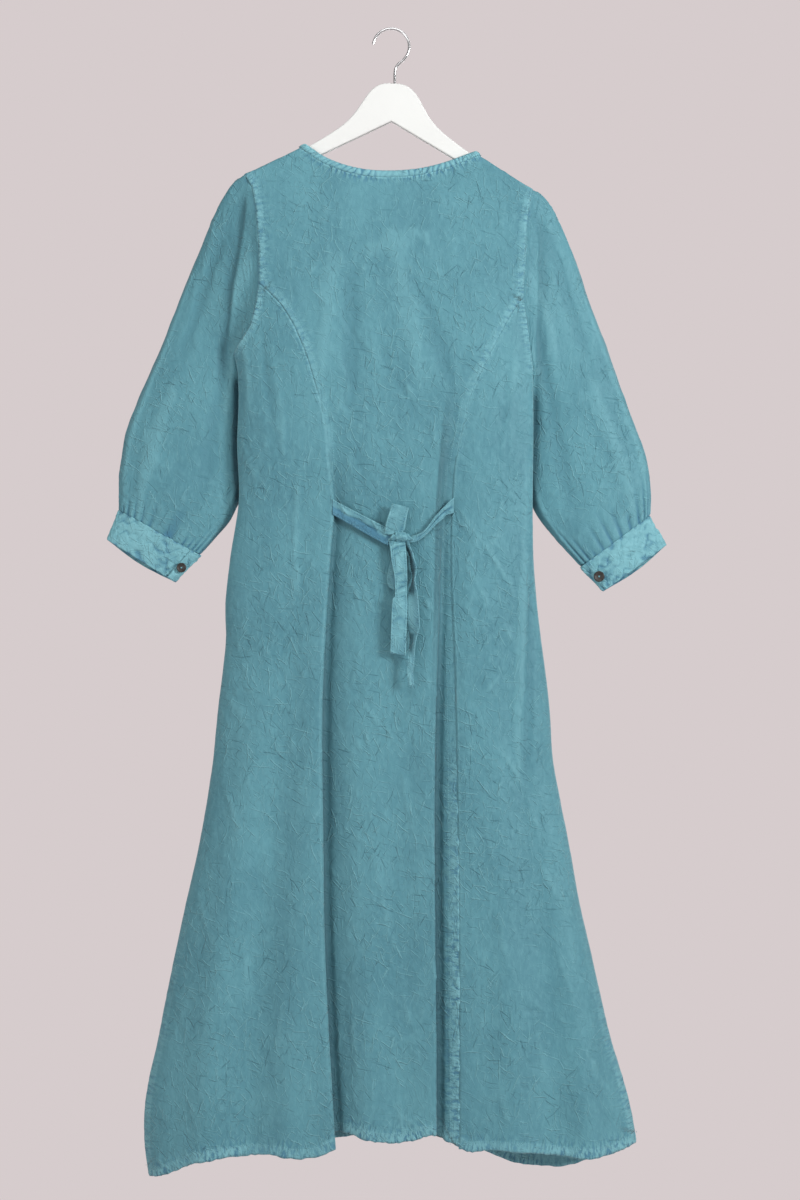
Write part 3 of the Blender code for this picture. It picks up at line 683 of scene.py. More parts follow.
def hanger_outline():
    """The hanger's outline in its own frame: one half with a round end, then its mirror image."""
    table_x = [row[0] for row in HANGER_UPPER]
    between = [(a + b) / 2 for a, b in zip(table_x, table_x[1:-1])]
    upper = [(x, float(through(HANGER_UPPER, x))) for x in sorted(table_x + between)]
    slope = math.atan(HANGER_UNDER_SLOPE)
    end_x, end_drop = upper[-1]
    middle_x = end_x - HANGER_END_RADIUS * math.sin(slope)
    middle_drop = end_drop + HANGER_END_RADIUS * math.cos(slope)
    end = []
    for step in range(1, 8):
        angle = -math.pi / 2 + slope + math.pi * step / 8
        end.append(
            (
                middle_x + HANGER_END_RADIUS * math.cos(angle),
                middle_drop + HANGER_END_RADIUS * math.sin(angle),
            )
        )
    under = [(x, HANGER_NOTCH + HANGER_UNDER_SLOPE * x) for x in (HANGER_UNDER_FROM, 0)]
    half = upper + end + under
    return half + [(-x, drop) for x, drop in reversed(half[1:-1])]


# Fine grids of the visible cloth, in columns and rows
BACK_CENTRE_GRID = (100, 440)
BACK_SIDE_GRID = (76, 370)
FRONT_GRID = (110, 288)
SLEEVE_GRID = (150, 190)
CUFF_GRID = (230, 40)
BINDING_GRID = (640, 10)
HOOK_POINTS = 60
STEM_POINTS = 24

# Walls of the visible cloth, and how far the panels reach under the neck binding
SHELL = 0.9
BAND_SHELL = 1.3
UNDER_BINDING = -2.5

# Lengths round the closed pieces, which set the scale of their relief
SLEEVE_ROUND = 320.0
CUFF_ROUND = 255.0
BINDING_ROUND = 560.0
BINDING_CALM_AT = 140.0
BINDING_RIB_PITCH = 6.8
BINDING_WIDTH = 12.0

# Bands of turned or pressed cloth beside the seams
ARMHOLE_BAND = 10.0
PRINCESS_BAND = 10.0
CURVE_END = 600
SKIRT_BAND = 15.0
UNDER_ARM_SHARE = 0.7
SIDE_BAND = 10.0
HEM_BAND = 14.5
PUCKER_PITCH = 6.5
STITCH_INSET = 1.6

# The washed crinkle: facets between short sharp ridges
CRUMPLE = (
    # size of a facet, height, how much taller than wide
    (34.0, 0.8, 1.7),
    (17.0, 0.6, 1.4),
    (9.0, 0.4, 1.1),
)
SHORT_CREASES_PER_METRE2 = 2800
SHORT_CREASE = {"shortest": 9.0, "longest": 30.0, "height": 0.75, "width": 2.0}

# Fine creases, too small for the grids
CREASE_LEAN = math.radians(112)
CREASE_SPREAD = math.radians(140)
CREASE_LAYERS = (
    # size of a cell, half width, height, place of the pattern
    (7.0, 0.8, 0.36, 0.3),
    (9.0, 0.8, 0.42, 1.9),
    (11.5, 0.9, 0.50, 2.8),
    (15.0, 1.0, 0.58, 3.7),
    (20.0, 1.1, 0.68, 4.3),
    (28.0, 1.2, 0.72, 5.1),
)

# Main creases of the back: soft ridges, or troughs where the height is negative
CREASES_BACK = (
    # x, drop, degrees from the right, length, height, half width, bend
    (-53, 408, 88, 260, -2.4, 11.0, 4),
    (-90, 400, 86, 240, 1.8, 10.0, -3),
    (20, 380, -80, 260, 1.8, 14.0, 6),
    (60, 420, -72, 200, -1.8, 11.0, 5),
    (-20, 300, 20, 160, 1.4, 14.0, 5),
    (176, 850, 88, 420, 2.4, 7.0, 3),
    (188, 850, 88, 420, -3.0, 8.0, 3),
    (-128, 690, 89, 240, 1.6, 5.0, 3),
    (-128, 300, -62, 60, 1.1, 4.0, 5),
    (-104, 322, 62, 48, 1.0, 3.5, -4),
    (-76, 392, -52, 120, 1.0, 3.5, 6),
    (-48, 420, -55, 105, -1.0, 4.0, -5),
    (-66, 470, -74, 90, 1.2, 4.5, 3),
    (-30, 440, -60, 90, 1.1, 4.0, 7),
    (4, 470, -58, 110, -1.0, 4.5, -5),
    (26, 500, -60, 95, 1.0, 4.0, 4),
    (48, 392, -48, 80, 0.9, 4.0, 3),
    (64, 330, -66, 70, 0.9, 3.5, -3),
    (88, 300, 70, 66, 1.0, 4.0, 4),
    (110, 270, -75, 60, 0.9, 4.0, 3),
    (34, 280, -40, 50, 0.8, 3.5, 3),
    (-20, 262, 8, 62, 0.8, 3.5, 3),
    (-60, 258, 4, 46, 0.8, 3.0, -2),
    (-90, 245, -84, 62, 0.8, 3.5, 2),
    (-6, 550, -72, 120, 1.0, 5.0, 5),
    (-40, 600, -80, 110, -1.1, 5.5, -4),
    (58, 560, -78, 120, 1.1, 5.0, 4),
    (-52, 760, -60, 64, 1.1, 3.5, 4),
    (-30, 776, -64, 46, 1.0, 3.0, -3),
    (-24, 935, -57, 60, 1.1, 3.0, 3),
    (0, 955, -62, 54, 1.0, 3.0, -3),
    (-46, 860, 78, 70, 0.9, 4.0, 3),
    (24, 1060, -76, 90, 1.0, 4.0, 4),
    (-12, 1180, -82, 130, 1.1, 5.0, 4),
    (26, 1330, -70, 80, 1.0, 4.0, -4),
    (-50, 1360, -84, 120, 0.9, 5.0, 3),
    (12, 1468, -78, 42, 1.1, 3.0, 3),
    (-190, 600, -60, 60, 1.0, 4.0, 4),
    (-170, 632, -52, 52, -1.0, 3.5, -3),
    (-140, 650, -63, 46, 1.0, 3.5, 3),
    (-128, 756, -57, 70, 1.1, 3.5, -5),
    (-196, 800, 70, 58, 1.0, 4.0, 3),
    (-176, 838, -52, 74, 1.1, 4.0, 5),
    (-150, 868, -48, 60, -0.9, 3.5, -3),
    (-120, 872, -66, 50, 1.0, 3.5, 3),
    (-204, 930, -58, 70, 1.0, 4.0, 4),
    (-150, 980, -70, 90, 1.0, 4.5, 4),
    (-118, 1010, 74, 80, 0.9, 4.0, -4),
    (-214, 1060, -74, 110, 1.1, 5.0, 4),
    (-168, 1130, -80, 120, 1.0, 5.0, 5),
    (-130, 1180, -62, 60, 1.0, 4.0, 3),
    (-250, 1200, -72, 110, 1.0, 5.0, -4),
    (-196, 1270, -84, 130, 1.1, 5.5, 4),
    (-280, 1340, -70, 100, 1.0, 5.0, 3),
    (-150, 1350, 82, 110, 1.0, 5.0, -4),
    (-232, 1420, -78, 90, 1.0, 5.0, 4),
    (-110, 1430, -75, 80, 0.9, 4.5, 3),
    (106, 690, -58, 78, 1.3, 3.5, 5),
    (126, 704, -52, 96, 1.3, 3.5, 4),
    (140, 690, 48, 60, 1.0, 3.5, -3),
    (150, 742, -60, 84, 1.2, 3.5, 5),
    (116, 756, -64, 70, 1.1, 3.5, 3),
    (160, 664, 12, 56, 0.9, 3.5, 3),
    (108, 800, -62, 56, 1.1, 3.0, 4),
    (158, 822, -66, 64, 1.0, 3.5, 4),
    (138, 884, 55, 66, 1.2, 3.0, -4),
    (176, 888, -72, 70, 1.0, 4.0, 3),
    (118, 940, -60, 70, 1.0, 3.5, 4),
    (160, 1000, -58, 90, 1.1, 4.0, 5),
    (190, 1060, -70, 80, 1.0, 4.5, -4),
    (130, 1100, -76, 100, 1.0, 4.5, 4),
    (210, 1150, -64, 90, 1.1, 4.5, 4),
    (150, 1230, -80, 110, 1.0, 5.0, 4),
    (230, 1270, -72, 110, 1.0, 5.0, 4),
    (120, 1340, 80, 90, 0.9, 5.0, -3),
    (200, 1380, -78, 110, 1.1, 5.0, 4),
    (270, 1400, -68, 90, 1.0, 5.0, 4),
    (150, 1450, -74, 60, 0.9, 4.5, 3),
    (188, 600, 86, 190, 1.5, 6.0, 4),
    (184, 800, 88, 260, 1.6, 6.0, 6),
    (-196, 480, -86, 130, 1.4, 6.0, 4),
    (-168, 470, -84, 150, -1.4, 6.0, -4),
    (-150, 520, -82, 140, 1.1, 6.0, 4),
    (166, 470, 84, 130, 1.2, 6.0, 3),
    (150, 520, 82, 140, -1.2, 6.0, -3),
)
STARBURSTS_BACK = (
    # x, drop, number of rays, reach
    (15, 1469, 9, 34),
    (16, 1360, 8, 40),
    (-40, 905, 7, 38),
    (118, 690, 9, 52),
    (-140, 820, 7, 40),
    (150, 1010, 7, 42),
    (-204, 1140, 7, 46),
    (-60, 330, 7, 40),
    (44, 345, 6, 40),
    (210, 1330, 7, 48),
    (-240, 1330, 7, 48),
)

# The same on the front, which the photograph doesn't show
CREASES_FRONT = (
    # x, drop, degrees from the right, length, height, half width, bend
    (-110, 330, -64, 80, 1.1, 4.5, 5),
    (-60, 380, 66, 70, 1.0, 4.0, -4),
    (20, 350, -58, 90, 1.0, 4.5, 5),
    (90, 310, 68, 70, 1.0, 4.0, 4),
    (120, 420, -80, 120, 1.1, 5.5, 3),
    (-140, 470, -84, 140, 1.2, 6.0, 4),
    (-30, 500, -74, 110, -1.1, 5.0, 5),
    (50, 560, -66, 100, 1.1, 4.5, -5),
    (140, 600, 84, 160, 1.3, 6.0, 4),
    (-90, 640, -60, 80, 1.0, 4.5, 4),
    (-170, 700, -70, 100, 1.1, 5.0, -4),
    (10, 720, -78, 130, 1.1, 5.0, 5),
    (90, 780, -60, 90, 1.2, 4.5, 4),
    (-60, 850, 76, 110, 1.0, 5.0, -4),
    (150, 900, -72, 120, 1.1, 5.0, 5),
    (-150, 930, -62, 90, 1.1, 4.5, 5),
    (30, 980, -80, 140, 1.2, 5.5, 4),
    (-210, 1040, -76, 120, 1.1, 5.5, 4),
    (110, 1080, -66, 90, 1.0, 4.5, -4),
    (-70, 1120, -82, 150, 1.2, 6.0, 4),
    (200, 1160, -70, 110, 1.1, 5.0, 4),
    (-170, 1230, -78, 130, 1.1, 5.5, -4),
    (50, 1260, -72, 110, 1.1, 5.0, 4),
    (-260, 1330, -72, 110, 1.1, 5.0, 4),
    (140, 1340, 80, 120, 1.1, 5.5, -4),
    (-20, 1400, -76, 90, 1.0, 5.0, 4),
    (240, 1400, -68, 100, 1.1, 5.0, 4),
    (-140, 1450, -82, 80, 1.0, 4.5, 3),
)
STARBURSTS_FRONT = (
    # x, drop, number of rays, reach
    (-50, 470, 7, 44),
    (100, 690, 8, 50),
    (-120, 800, 7, 46),
    (60, 1150, 8, 50),
    (-180, 1150, 7, 48),
    (180, 1270, 7, 50),
    (-30, 1330, 8, 46),
)

# Long soft folds of the sleeves: place round the sleeve, from and to along it, height, half width
SLEEVE_FOLDS = (
    # w, start t, end t, height in mm, half width in w, drift of w
    (0.06, 0.30, 0.98, 2.2, 0.020, 0.02),
    (0.13, 0.05, 0.55, -2.6, 0.024, 0.03),
    (0.17, 0.45, 1.00, 2.4, 0.022, -0.02),
    (0.24, 0.02, 0.50, 2.6, 0.026, 0.03),
    (0.30, 0.30, 0.90, -2.2, 0.022, 0.02),
    (0.36, 0.10, 0.60, 2.2, 0.022, -0.03),
    (0.42, 0.50, 1.00, 2.0, 0.018, 0.01),
    (0.60, 0.10, 0.70, 2.4, 0.026, 0.02),
    (0.68, 0.40, 1.00, -2.4, 0.024, -0.02),
    (0.76, 0.05, 0.60, 2.2, 0.024, 0.02),
    (0.84, 0.35, 0.95, 2.4, 0.024, -0.02),
    (0.92, 0.15, 0.70, -2.0, 0.022, 0.02),
)
SLEEVE_GATHERS = 24
SLEEVE_GATHER_HEIGHT = 2.8
ARMHOLE_TUCKS = 34

# Squiggles stitched on the cuffs
SQUIGGLE_ROWS = 4
SQUIGGLE_WAVE = 15.0
SQUIGGLE_SWING = 0.085

# Painted shade in the valleys of the long folds
LEFT_VALLEY = (
    # drop, share
    (560, 0),
    (700, 0.35),
    (900, 0.85),
    (1560, 0.95),
)
RIGHT_VALLEY = (
    # drop, share
    (600, 0),
    (760, 0.35),
    (900, 0.75),
    (1150, 1),
    (1560, 1),
)
LEFT_GATHER = (
    # drop, share
    (560, 0),
    (680, 0.50),
    (1000, 0.40),
    (1250, 0.10),
)
RIGHT_GATHER = (
    # drop, share
    (480, 0),
    (590, 0.60),
    (760, 0.55),
    (900, 0.15),
    (1000, 0.05),
)
FOLD_VALLEYS = (
    # line, depth, distance to its right, half width, share of painted shade
    (PRINCESS_LEFT, 7.0, 0.0, 7.5, LEFT_VALLEY),
    (RIGHT_CREST, 7.0, 1.5, 5.0, RIGHT_VALLEY),
    (PRINCESS_LEFT, 1.0, 3.0, 16.0, LEFT_GATHER),
    (RIGHT_CREST, 1.0, -6.0, 14.0, RIGHT_GATHER),
)
TUCK_DEPTH = 0.2

# From and to which drop shade is painted on the sleeve beside the side seam, where it lies in the body's
# shade
SLIT = {"left": (462, 632), "right": (482, 640)}
CUFF_FAR_DROP = 5.0

# The soft step that runs down each sleeve beside the body, with a little shade painted along it
SLEEVE_STEP = {
    # line as drop and x, start drop, end drop, depth, half width
    "left": (((200, -196), (272, -204), (347, -216), (429, -227), (600, -240)), 215, 430, 4.0, 11.0),
    "right": (((200, 193), (286, 203), (408, 200), (530, 196), (700, 200)), 250, 520, 2.0, 12.0),
}

# The back tie as it is seen
TIE_SHELL = 1.2
STRAP_LEFT_SEEN = (
    # left x, left drop, left lift, right x, right drop, right lift
    (-78.9, 639.3, 2.5, -78.9, 659.7, 2.5),
    (-61.2, 648.9, 4, -61.2, 669.9, 4),
    (-34.0, 663.1, 6, -35.4, 684.9, 6),
    (-8.2, 676.7, 8, -9.5, 699.2, 8),
    (4.1, 684.2, 8, 1.4, 703.3, 8),
)
STRAP_RIGHT_SEEN = (
    # left x, left drop, left lift, right x, right drop, right lift
    (84.3, 637.3, 3, 84.3, 657.7, 3),
    (78.9, 642.1, 4.5, 78.9, 659.1, 3.5),
    (74.0, 647.0, 6, 74.0, 661.0, 4),
    (66.6, 655.0, 8, 67.3, 666.9, 4.5),
    (59.3, 663.0, 9, 59.8, 674.2, 5),
    (51.7, 673.3, 9, 53.0, 681.5, 5.5),
    (44.5, 681.5, 9, 44.9, 688.8, 6),
    (35.4, 686.9, 9, 36.7, 695.1, 7),
    (21.8, 690.3, 9, 23.8, 698.5, 8),
)
LOOP_UP_SEEN = (
    # left x, left drop, left lift, right x, right drop, right lift
    (-8.8, 686.9, 10, 15.0, 686.9, 10),
    (-6.1, 670.6, 14, 19.0, 672.0, 14),
    (0.7, 648.9, 15, 23.1, 653.6, 15),
    (1.4, 647.5, 13.5, 23.5, 652.9, 13.5),
    (0.0, 648.9, 12, 22.8, 653.6, 12),
    (-10.2, 681.5, 9, 18.4, 681.5, 9),
)
LOOP_LOW_SEEN = (
    # left x, left drop, left lift, right x, right drop, right lift
    (-4.1, 695.1, 9, 9.5, 695.1, 11),
    (0.0, 708.7, 9, 13.6, 708.7, 11),
    (0.7, 718.2, 7, 13.6, 718.2, 10),
    (-3.4, 733.2, 5, 10.9, 733.2, 9),
    (-5.4, 746.8, 4, 9.5, 746.8, 9),
    (-3.4, 756.3, 5, 9.5, 757.7, 9),
    (3.4, 761.1, 9, 10.9, 761.7, 10),
)
TAIL_FLAT_SEEN = (
    # left x, left drop, left lift, right x, right drop, right lift
    (-4.1, 692.4, 8, 18.4, 692.4, 8.5),
    (-1.5, 704.0, 12, 19.6, 704.0, 12),
    (0.7, 722.3, 14, 21.1, 720.9, 13),
    (4.8, 745.4, 14, 21.8, 745.4, 14),
    (5.4, 769.9, 15, 20.9, 764.5, 14),
    (1.9, 776.2, 16, 21.8, 783.5, 14),
    (0.0, 813.4, 15, 20.7, 816.1, 14),
    (-1.0, 846.1, 14, 20.0, 849.6, 14),
)
TAIL_TURNED_SEEN = (
    # left x, left drop, left lift, right x, right drop, right lift
    (16.3, 695.1, 6, 23.1, 695.1, 12),
    (23.8, 714.1, 3, 29.2, 714.1, 19),
    (27.2, 731.8, 3, 33.3, 731.8, 20),
    (28.3, 749.5, 4, 32.6, 752.2, 20),
    (23.1, 765.8, 9, 35.8, 771.3, 21),
    (21.1, 783.5, 11, 37.0, 783.5, 20),
    (21.5, 805.3, 10, 38.1, 808.0, 20),
    (23.8, 817.5, 8, 36.4, 817.5, 19),
    (26.0, 827.0, 5, 33.4, 827.0, 20),
    (23.2, 850.1, 16, 31.2, 850.1, 18),
    (21.4, 870.5, 17, 29.6, 870.5, 17),
    (22.8, 889.0, 17, 31.0, 889.3, 16),
)
STRAP_CREASES = (
    # distance along, distance across, degrees, length, height, half width, bend
    (40, 10, 2, 90, -1.0, 1.8, 1),
    (22, 6, -35, 18, 0.7, 1.6, 1),
    (58, 5, -50, 16, 0.7, 1.6, 1),
)
ROLLED_CREASES = (
    # distance along, distance across, degrees, length, height, half width, bend
    (32, 10, 3, 80, -1.6, 2.2, 1),
)
TAIL_HOLLOWS = (
    # from and to which distance along, from and to which share across, how much shade is painted there
    (4, 66, -0.5, 0.62, 0.85),
    (126, 152, -0.5, 0.5, 0.7),
)
TAIL_CREASES = (
    # distance along, distance across, degrees, length, height, half width, bend
    (18, 9, 62, 30, 1.2, 2.2, 2),
    (24, 9, 60, 26, -1.1, 1.6, 2),
    (33, 8, 48, 24, -0.9, 1.6, -2),
    (30, 14, 70, 18, 0.9, 1.6, 1),
    (62, 8, 75, 20, -0.9, 1.6, 2),
    (72, 11, 88, 20, -0.9, 1.5, -1),
    (80, 8, 80, 20, -0.8, 1.5, 2),
    (86, 12, 95, 16, 0.8, 1.5, 1),
    (98, 9, 60, 20, -0.8, 1.6, 2),
    (112, 10, 50, 22, 0.8, 1.8, -2),
    (126, 8, 65, 18, -0.6, 1.8, 2),
)

STITCH_LENGTH = 2.3
STITCH_PITCH = 3.1
STITCH_RADIUS = 0.3
STITCH_REACH = 2.4

BUTTON_RIM = 1.3

CAMERA_AT = (12.0, -3100.0, -775.0)
CAMERA_LENS = 68.4
FLOOR_DROP = 1900.0

# Colours, linear
TEAL = (0.102, 0.288, 0.344)
TEAL_DEEP = (0.066, 0.208, 0.262)
TEAL_PALE = (0.170, 0.410, 0.468)
BAND_TEAL = (0.205, 0.470, 0.530)
TIE_TEAL = (0.140, 0.352, 0.412)
# Blue painted as shade into valleys, creases and folded halves
PAINTED_BLUE_SHADE = (0.050, 0.180, 0.290)
# Near-black teal painted as shade where fold valleys, hollows and the sleeve beside the body lie in shadow
PAINTED_SHADE_TEAL = (0.014, 0.060, 0.082)
GROUND = (0.672, 0.604, 0.610)
ROOM = (1.0, 0.97, 0.97)
ROOM_STRENGTH = 0.29

LAMPS = (
    # name, place and aim in metres, size in metres, power in watts
    ("key", (2.3, -2.1, -0.05), (0, 0, -0.2), 0.8, 64),
    ("top", (0.2, -1.9, 1.3), (0, 0, -0.2), 1.6, 24),
    ("fill", (-2.2, -2.4, -0.9), (0, 0, -1.0), 1.6, 23),
    ("front_soft", (0.6, 3.2, 0.5), (0, 0, -0.8), 2.6, 60),
)


def place_back_centre(u, v):
    """The back centre panel: u runs from the left seam to the right one, v down."""

    def x_at(drop):
        left, right = centre_left(drop), centre_right(drop)
        return left + (right - left) * u

    top = settle_on(x_at, lambda x: top_edge(x, NECK_BACK, UNDER_BINDING), 200 + 0 * u)
    bust = BUST_LEVEL[0] + (BUST_LEVEL[1] - BUST_LEVEL[0]) * u
    hem = settle_on(x_at, lambda x: through(HEM_BACK_CENTRE, x), 1500 + 0 * u)
    near_top = top + ROLL_END
    drop = along_levels(v, CENTRE_BREAKS, (top, near_top, bust, hem))
    x = x_at(drop)
    return points_at(x, back_y(x, drop), drop)


def row_breaks(*counts):
    """Where each level lies in v, when these numbers of rows come between the levels."""
    return np.concatenate([[0], np.cumsum(counts)]) / sum(counts)


def place_front(u, v):
    """The front panel: u runs from the left side seam to the right one, v down."""

    def x_at(drop):
        left = front_edge(drop, ARMHOLE_FRONT_LEFT, 1, ARMPIT["left"])
        right = front_edge(drop, ARMHOLE_FRONT_RIGHT, 2, ARMPIT["right"])
        closer = 0.5 - 0.5 * np.cos(math.pi * u)
        return left + (right - left) * (0.75 * u + 0.25 * closer)

    top = settle_on(x_at, lambda x: top_edge(x, NECK_FRONT, UNDER_BINDING), 200 + 0 * u)
    armpit = ARMPIT["left"] + (ARMPIT["right"] - ARMPIT["left"]) * u
    hem = settle_on(x_at, lambda x: through(HEM_FRONT, x), 1520 + 0 * u)
    near_top = top + ROLL_END
    drop = along_levels(v, FRONT_BREAKS, (top, near_top, armpit, hem))
    x = x_at(drop)
    return points_at(x, front_y(x, drop) + SEAM_GAP / 2, drop)


def armhole_edges(side):
    """The body's own edges round an armhole, back and front, as rows of x, y and drop."""
    edge = 0.0 if side == "left" else 1.0
    centre_v = np.linspace(0, CENTRE_BREAKS[2], 60)
    front_v = np.linspace(0, FRONT_BREAKS[2], 70)
    side_u = np.linspace(0, 1, 40)[1:]
    place_side = place_back_side_left if side == "left" else place_back_side_right
    back = np.vstack([place_back_centre(0 * centre_v + edge, centre_v), place_side(side_u, 0 * side_u)])
    front = place_front(0 * front_v + edge, front_v)
    return [np.column_stack([p[:, 0], p[:, 1], -p[:, 2]]) / MM for p in (back, front)]


def place_sleeve(side):
    """The sleeve: w runs round it from the outer edge over the back, t from the armhole down."""
    rows = SLEEVE_LEFT if side == "left" else SLEEVE_RIGHT
    edges = armhole_edges(side)

    def place(w, t):
        x, y, drop = flattened_ring(station(rows, t), w)
        first = flattened_ring(station(rows, 0 * t), w)
        seam = armhole_ring(edges, w)
        fade = 1 - smoothstep(t / SLEEVE_JOIN)
        x = x + (seam[0] - first[0]) * fade
        drop = drop + (seam[2] - first[2]) * fade
        y = y + (seam[1] - first[1]) * fade
        return points_at(x, y, drop)

    return place


def hashed(i, j, seed):
    """A fixed number from 0 to 1 for each pair of whole numbers."""
    n = np.sin(i * 127.1 + j * 311.7 + seed * 74.7) * 43758.5453
    return n - np.floor(n)


def soft_noise(x, y, seed):
    """Smooth noise from -1 to 1, with hills about one unit wide."""
    i, j = np.floor(x), np.floor(y)
    a, b = smoothstep(x - i), smoothstep(y - j)
    low = hashed(i, j, seed) * (1 - a) + hashed(i + 1, j, seed) * a
    high = hashed(i, j + 1, seed) * (1 - a) + hashed(i + 1, j + 1, seed) * a
    return 2 * (low * (1 - b) + high * b) - 1


def facets(x, y, seed):
    """Distance to the nearest of scattered points: facets that meet in sharp ridges."""
    i, j = np.floor(x), np.floor(y)
    nearest = np.full_like(x, 9.0)
    for di in (-1, 0, 1):
        for dj in (-1, 0, 1):
            px = i + di + hashed(i + di, j + dj, seed)
            py = j + dj + hashed(i + di, j + dj, seed + 5)
            nearest = np.minimum(nearest, (px - x) ** 2 + (py - y) ** 2)
    return np.sqrt(nearest)


def crumple(x, y, seed):
    """Height of the washed crinkle in mm."""
    bent_x = x + 5 * soft_noise(x / 24, y / 24, seed + 1)
    bent_y = y + 5 * soft_noise(x / 24, y / 24, seed + 2)
    total = np.zeros_like(x)
    for number, (size, height, taller) in enumerate(CRUMPLE):
        total += height * (facets(bent_x / size, bent_y / (size * taller), seed + number) - 0.45)
    patches = 0.45 + 0.55 * smoothstep(0.5 + soft_noise(x / 70, y / 95, seed + 3))
    return total * patches


def crease(x, y, at, angle, length, height, half_width, bend):
    """One soft ridge or trough that fades at its ends and bows to one side."""
    along_x, along_y = math.cos(angle), -math.sin(angle)
    dx, dy = x - at[0], y - at[1]
    along = (dx * along_x + dy * along_y) / (length / 2)
    across = dy * along_x - dx * along_y - bend * (along**2 - 0.4)
    fade = np.clip(1 - along**2, 0, 1)
    return height * fade * np.exp(-((across / half_width) ** 2))


def add_near(total, x, y, at, reach, make):
    """Adds a local form to the points within its reach."""
    near = np.nonzero((np.abs(x - at[0]) < reach) & (np.abs(y - at[1]) < reach))[0]
    if len(near):
        total[near] += make(x[near], y[near])


def add_creases(total, x, y, rows, bursts, seed):
    for cx, cy, degrees, length, height, half_width, bend in rows:
        angle = math.radians(degrees)
        add_near(
            total, x, y, (cx, cy), length,
            lambda a, b: crease(a, b, (cx, cy), angle, length, height, half_width, bend),
        )
    draw = np.random.default_rng(seed)
    for cx, cy, rays, reach in bursts:
        turn = draw.uniform(0, math.pi)
        for ray in range(rays):
            angle = turn + (ray + draw.uniform(-0.3, 0.3)) * 2 * math.pi / rays
            length = reach * draw.uniform(0.5, 1.1)
            mid = (cx + math.cos(angle) * length / 2, cy - math.sin(angle) * length / 2)
            height = draw.choice([-1, 1, 1]) * draw.uniform(0.6, 1.1)
            bend = draw.uniform(-3, 3)
            add_near(
                total, x, y, mid, length,
                lambda a, b: crease(a, b, mid, angle, length, height, 2.6, bend),
            )


def add_short_creases(total, x, y, seed):
    """Many short sharp creases, most of them steep and leaning one way."""
    draw = np.random.default_rng(seed)
    low_x, high_x, low_y, high_y = x.min(), x.max(), y.min(), y.max()
    count = int(SHORT_CREASES_PER_METRE2 * (high_x - low_x) * (high_y - low_y) * 1e-6)
    for _ in range(count):
        at = draw.uniform(low_x, high_x), draw.uniform(low_y, high_y)
        angle = math.radians(draw.choice([-60, -60, -75, 88, 60]) + draw.normal(0, 16))
        length = draw.uniform(SHORT_CREASE["shortest"], SHORT_CREASE["longest"])
        height = SHORT_CREASE["height"] * draw.uniform(0.4, 1.2)
        width = SHORT_CREASE["width"] * draw.uniform(0.8, 1.6)
        bend = draw.uniform(-2.5, 2.5)
        add_near(
            total, x, y, at, length * 0.6,
            lambda a, b: crease(a, b, at, angle, length, height, width, bend),
        )


def beside(x, y, line):
    """Distance of each point from a line, and how far along the line its nearest place is."""
    line = np.asarray(line, float)
    steps = np.hypot(*np.diff(line, axis=0).T)
    travelled = np.concatenate([[0], np.cumsum(steps)])
    count = max(int(travelled[-1] / 4), 2)
    places = np.linspace(0, travelled[-1], count)
    lx, ly = (np.interp(places, travelled, line[:, k]) for k in (0, 1))
    distance, position = np.full(len(x), 1e9), np.zeros(len(x))
    for ax, ay, bx, by, start in zip(lx, ly, lx[1:], ly[1:], places):
        reach = 40
        near = np.nonzero(
            (x > min(ax, bx) - reach) & (x < max(ax, bx) + reach)
            & (y > min(ay, by) - reach) & (y < max(ay, by) + reach)
        )[0]
        if not len(near):
            continue
        ex, ey = bx - ax, by - ay
        size = max(math.hypot(ex, ey), 1e-6)
        share = np.clip(((x[near] - ax) * ex + (y[near] - ay) * ey) / size**2, 0, 1)
        away = np.hypot(x[near] - ax - share * ex, y[near] - ay - share * ey)
        closer = away < distance[near]
        distance[near[closer]] = away[closer]
        position[near[closer]] = start + share[closer] * size
    return distance, position


def seam_relief(distance, position, drop, seam, seed):
    """Height, paleness and strength of the puckers of the doubled cloth beside a seam."""
    _, width, pucker, pale, start, full, pitch = seam
    grown = 0.2 + 0.8 * smoothstep((drop - start) / (full - start))
    on_band = 1 - smoothstep((distance - width + 0.5) / 1.6) if width else 0 * distance
    fade = np.exp(-((distance / (max(width, 6.0) * 1.3)) ** 2))
    uneven = 0.55 + 0.55 * smoothstep(0.5 + soft_noise(position / 34, 0 * position, seed + 6))
    strength = pucker * grown * fade * uneven
    ribs = soft_noise(position / pitch + distance * 0.05, distance / 16, seed)
    open_seam = 0.2 + 0.8 * smoothstep((drop - 800) / 200)
    groove = -0.45 * open_seam * grown * np.exp(-((distance / 1.1) ** 2))
    ridge = 0.5 * grown * np.exp(-(((distance - 2.2) / 1.2) ** 2))
    if width:
        groove = groove - 0.35 * grown * np.exp(-(((distance - width + STITCH_INSET) / 1.3) ** 2))
    height = 0.5 * on_band * grown + 0.45 * ribs * strength + groove + ridge
    rim = 1.6 * (0.35 + 0.65 * grown) * np.exp(-(((distance - 0.8) / 1.1) ** 2))
    return height, np.maximum(pale * on_band * grown * (0.6 + 0.4 * uneven), rim * pucker), strength


def fold_shade(x, drop):
    """Depth of the valleys beside the long folds, and how much shade is painted into them."""
    depth, shade = np.zeros_like(x), np.zeros_like(x)
    for line, more, start, half, strength in FOLD_VALLEYS:
        past = x - through(line, drop) - start
        beyond = np.maximum(past - 2.5, 0)
        open_side = np.exp(-((beyond / half) ** 2)) * straight(strength, drop)
        depth -= more * smoothstep((past + 1) / 5) * open_side
        shade = np.maximum(shade, smoothstep((past + 1.2) / 1.8) * open_side)
    return depth, shade


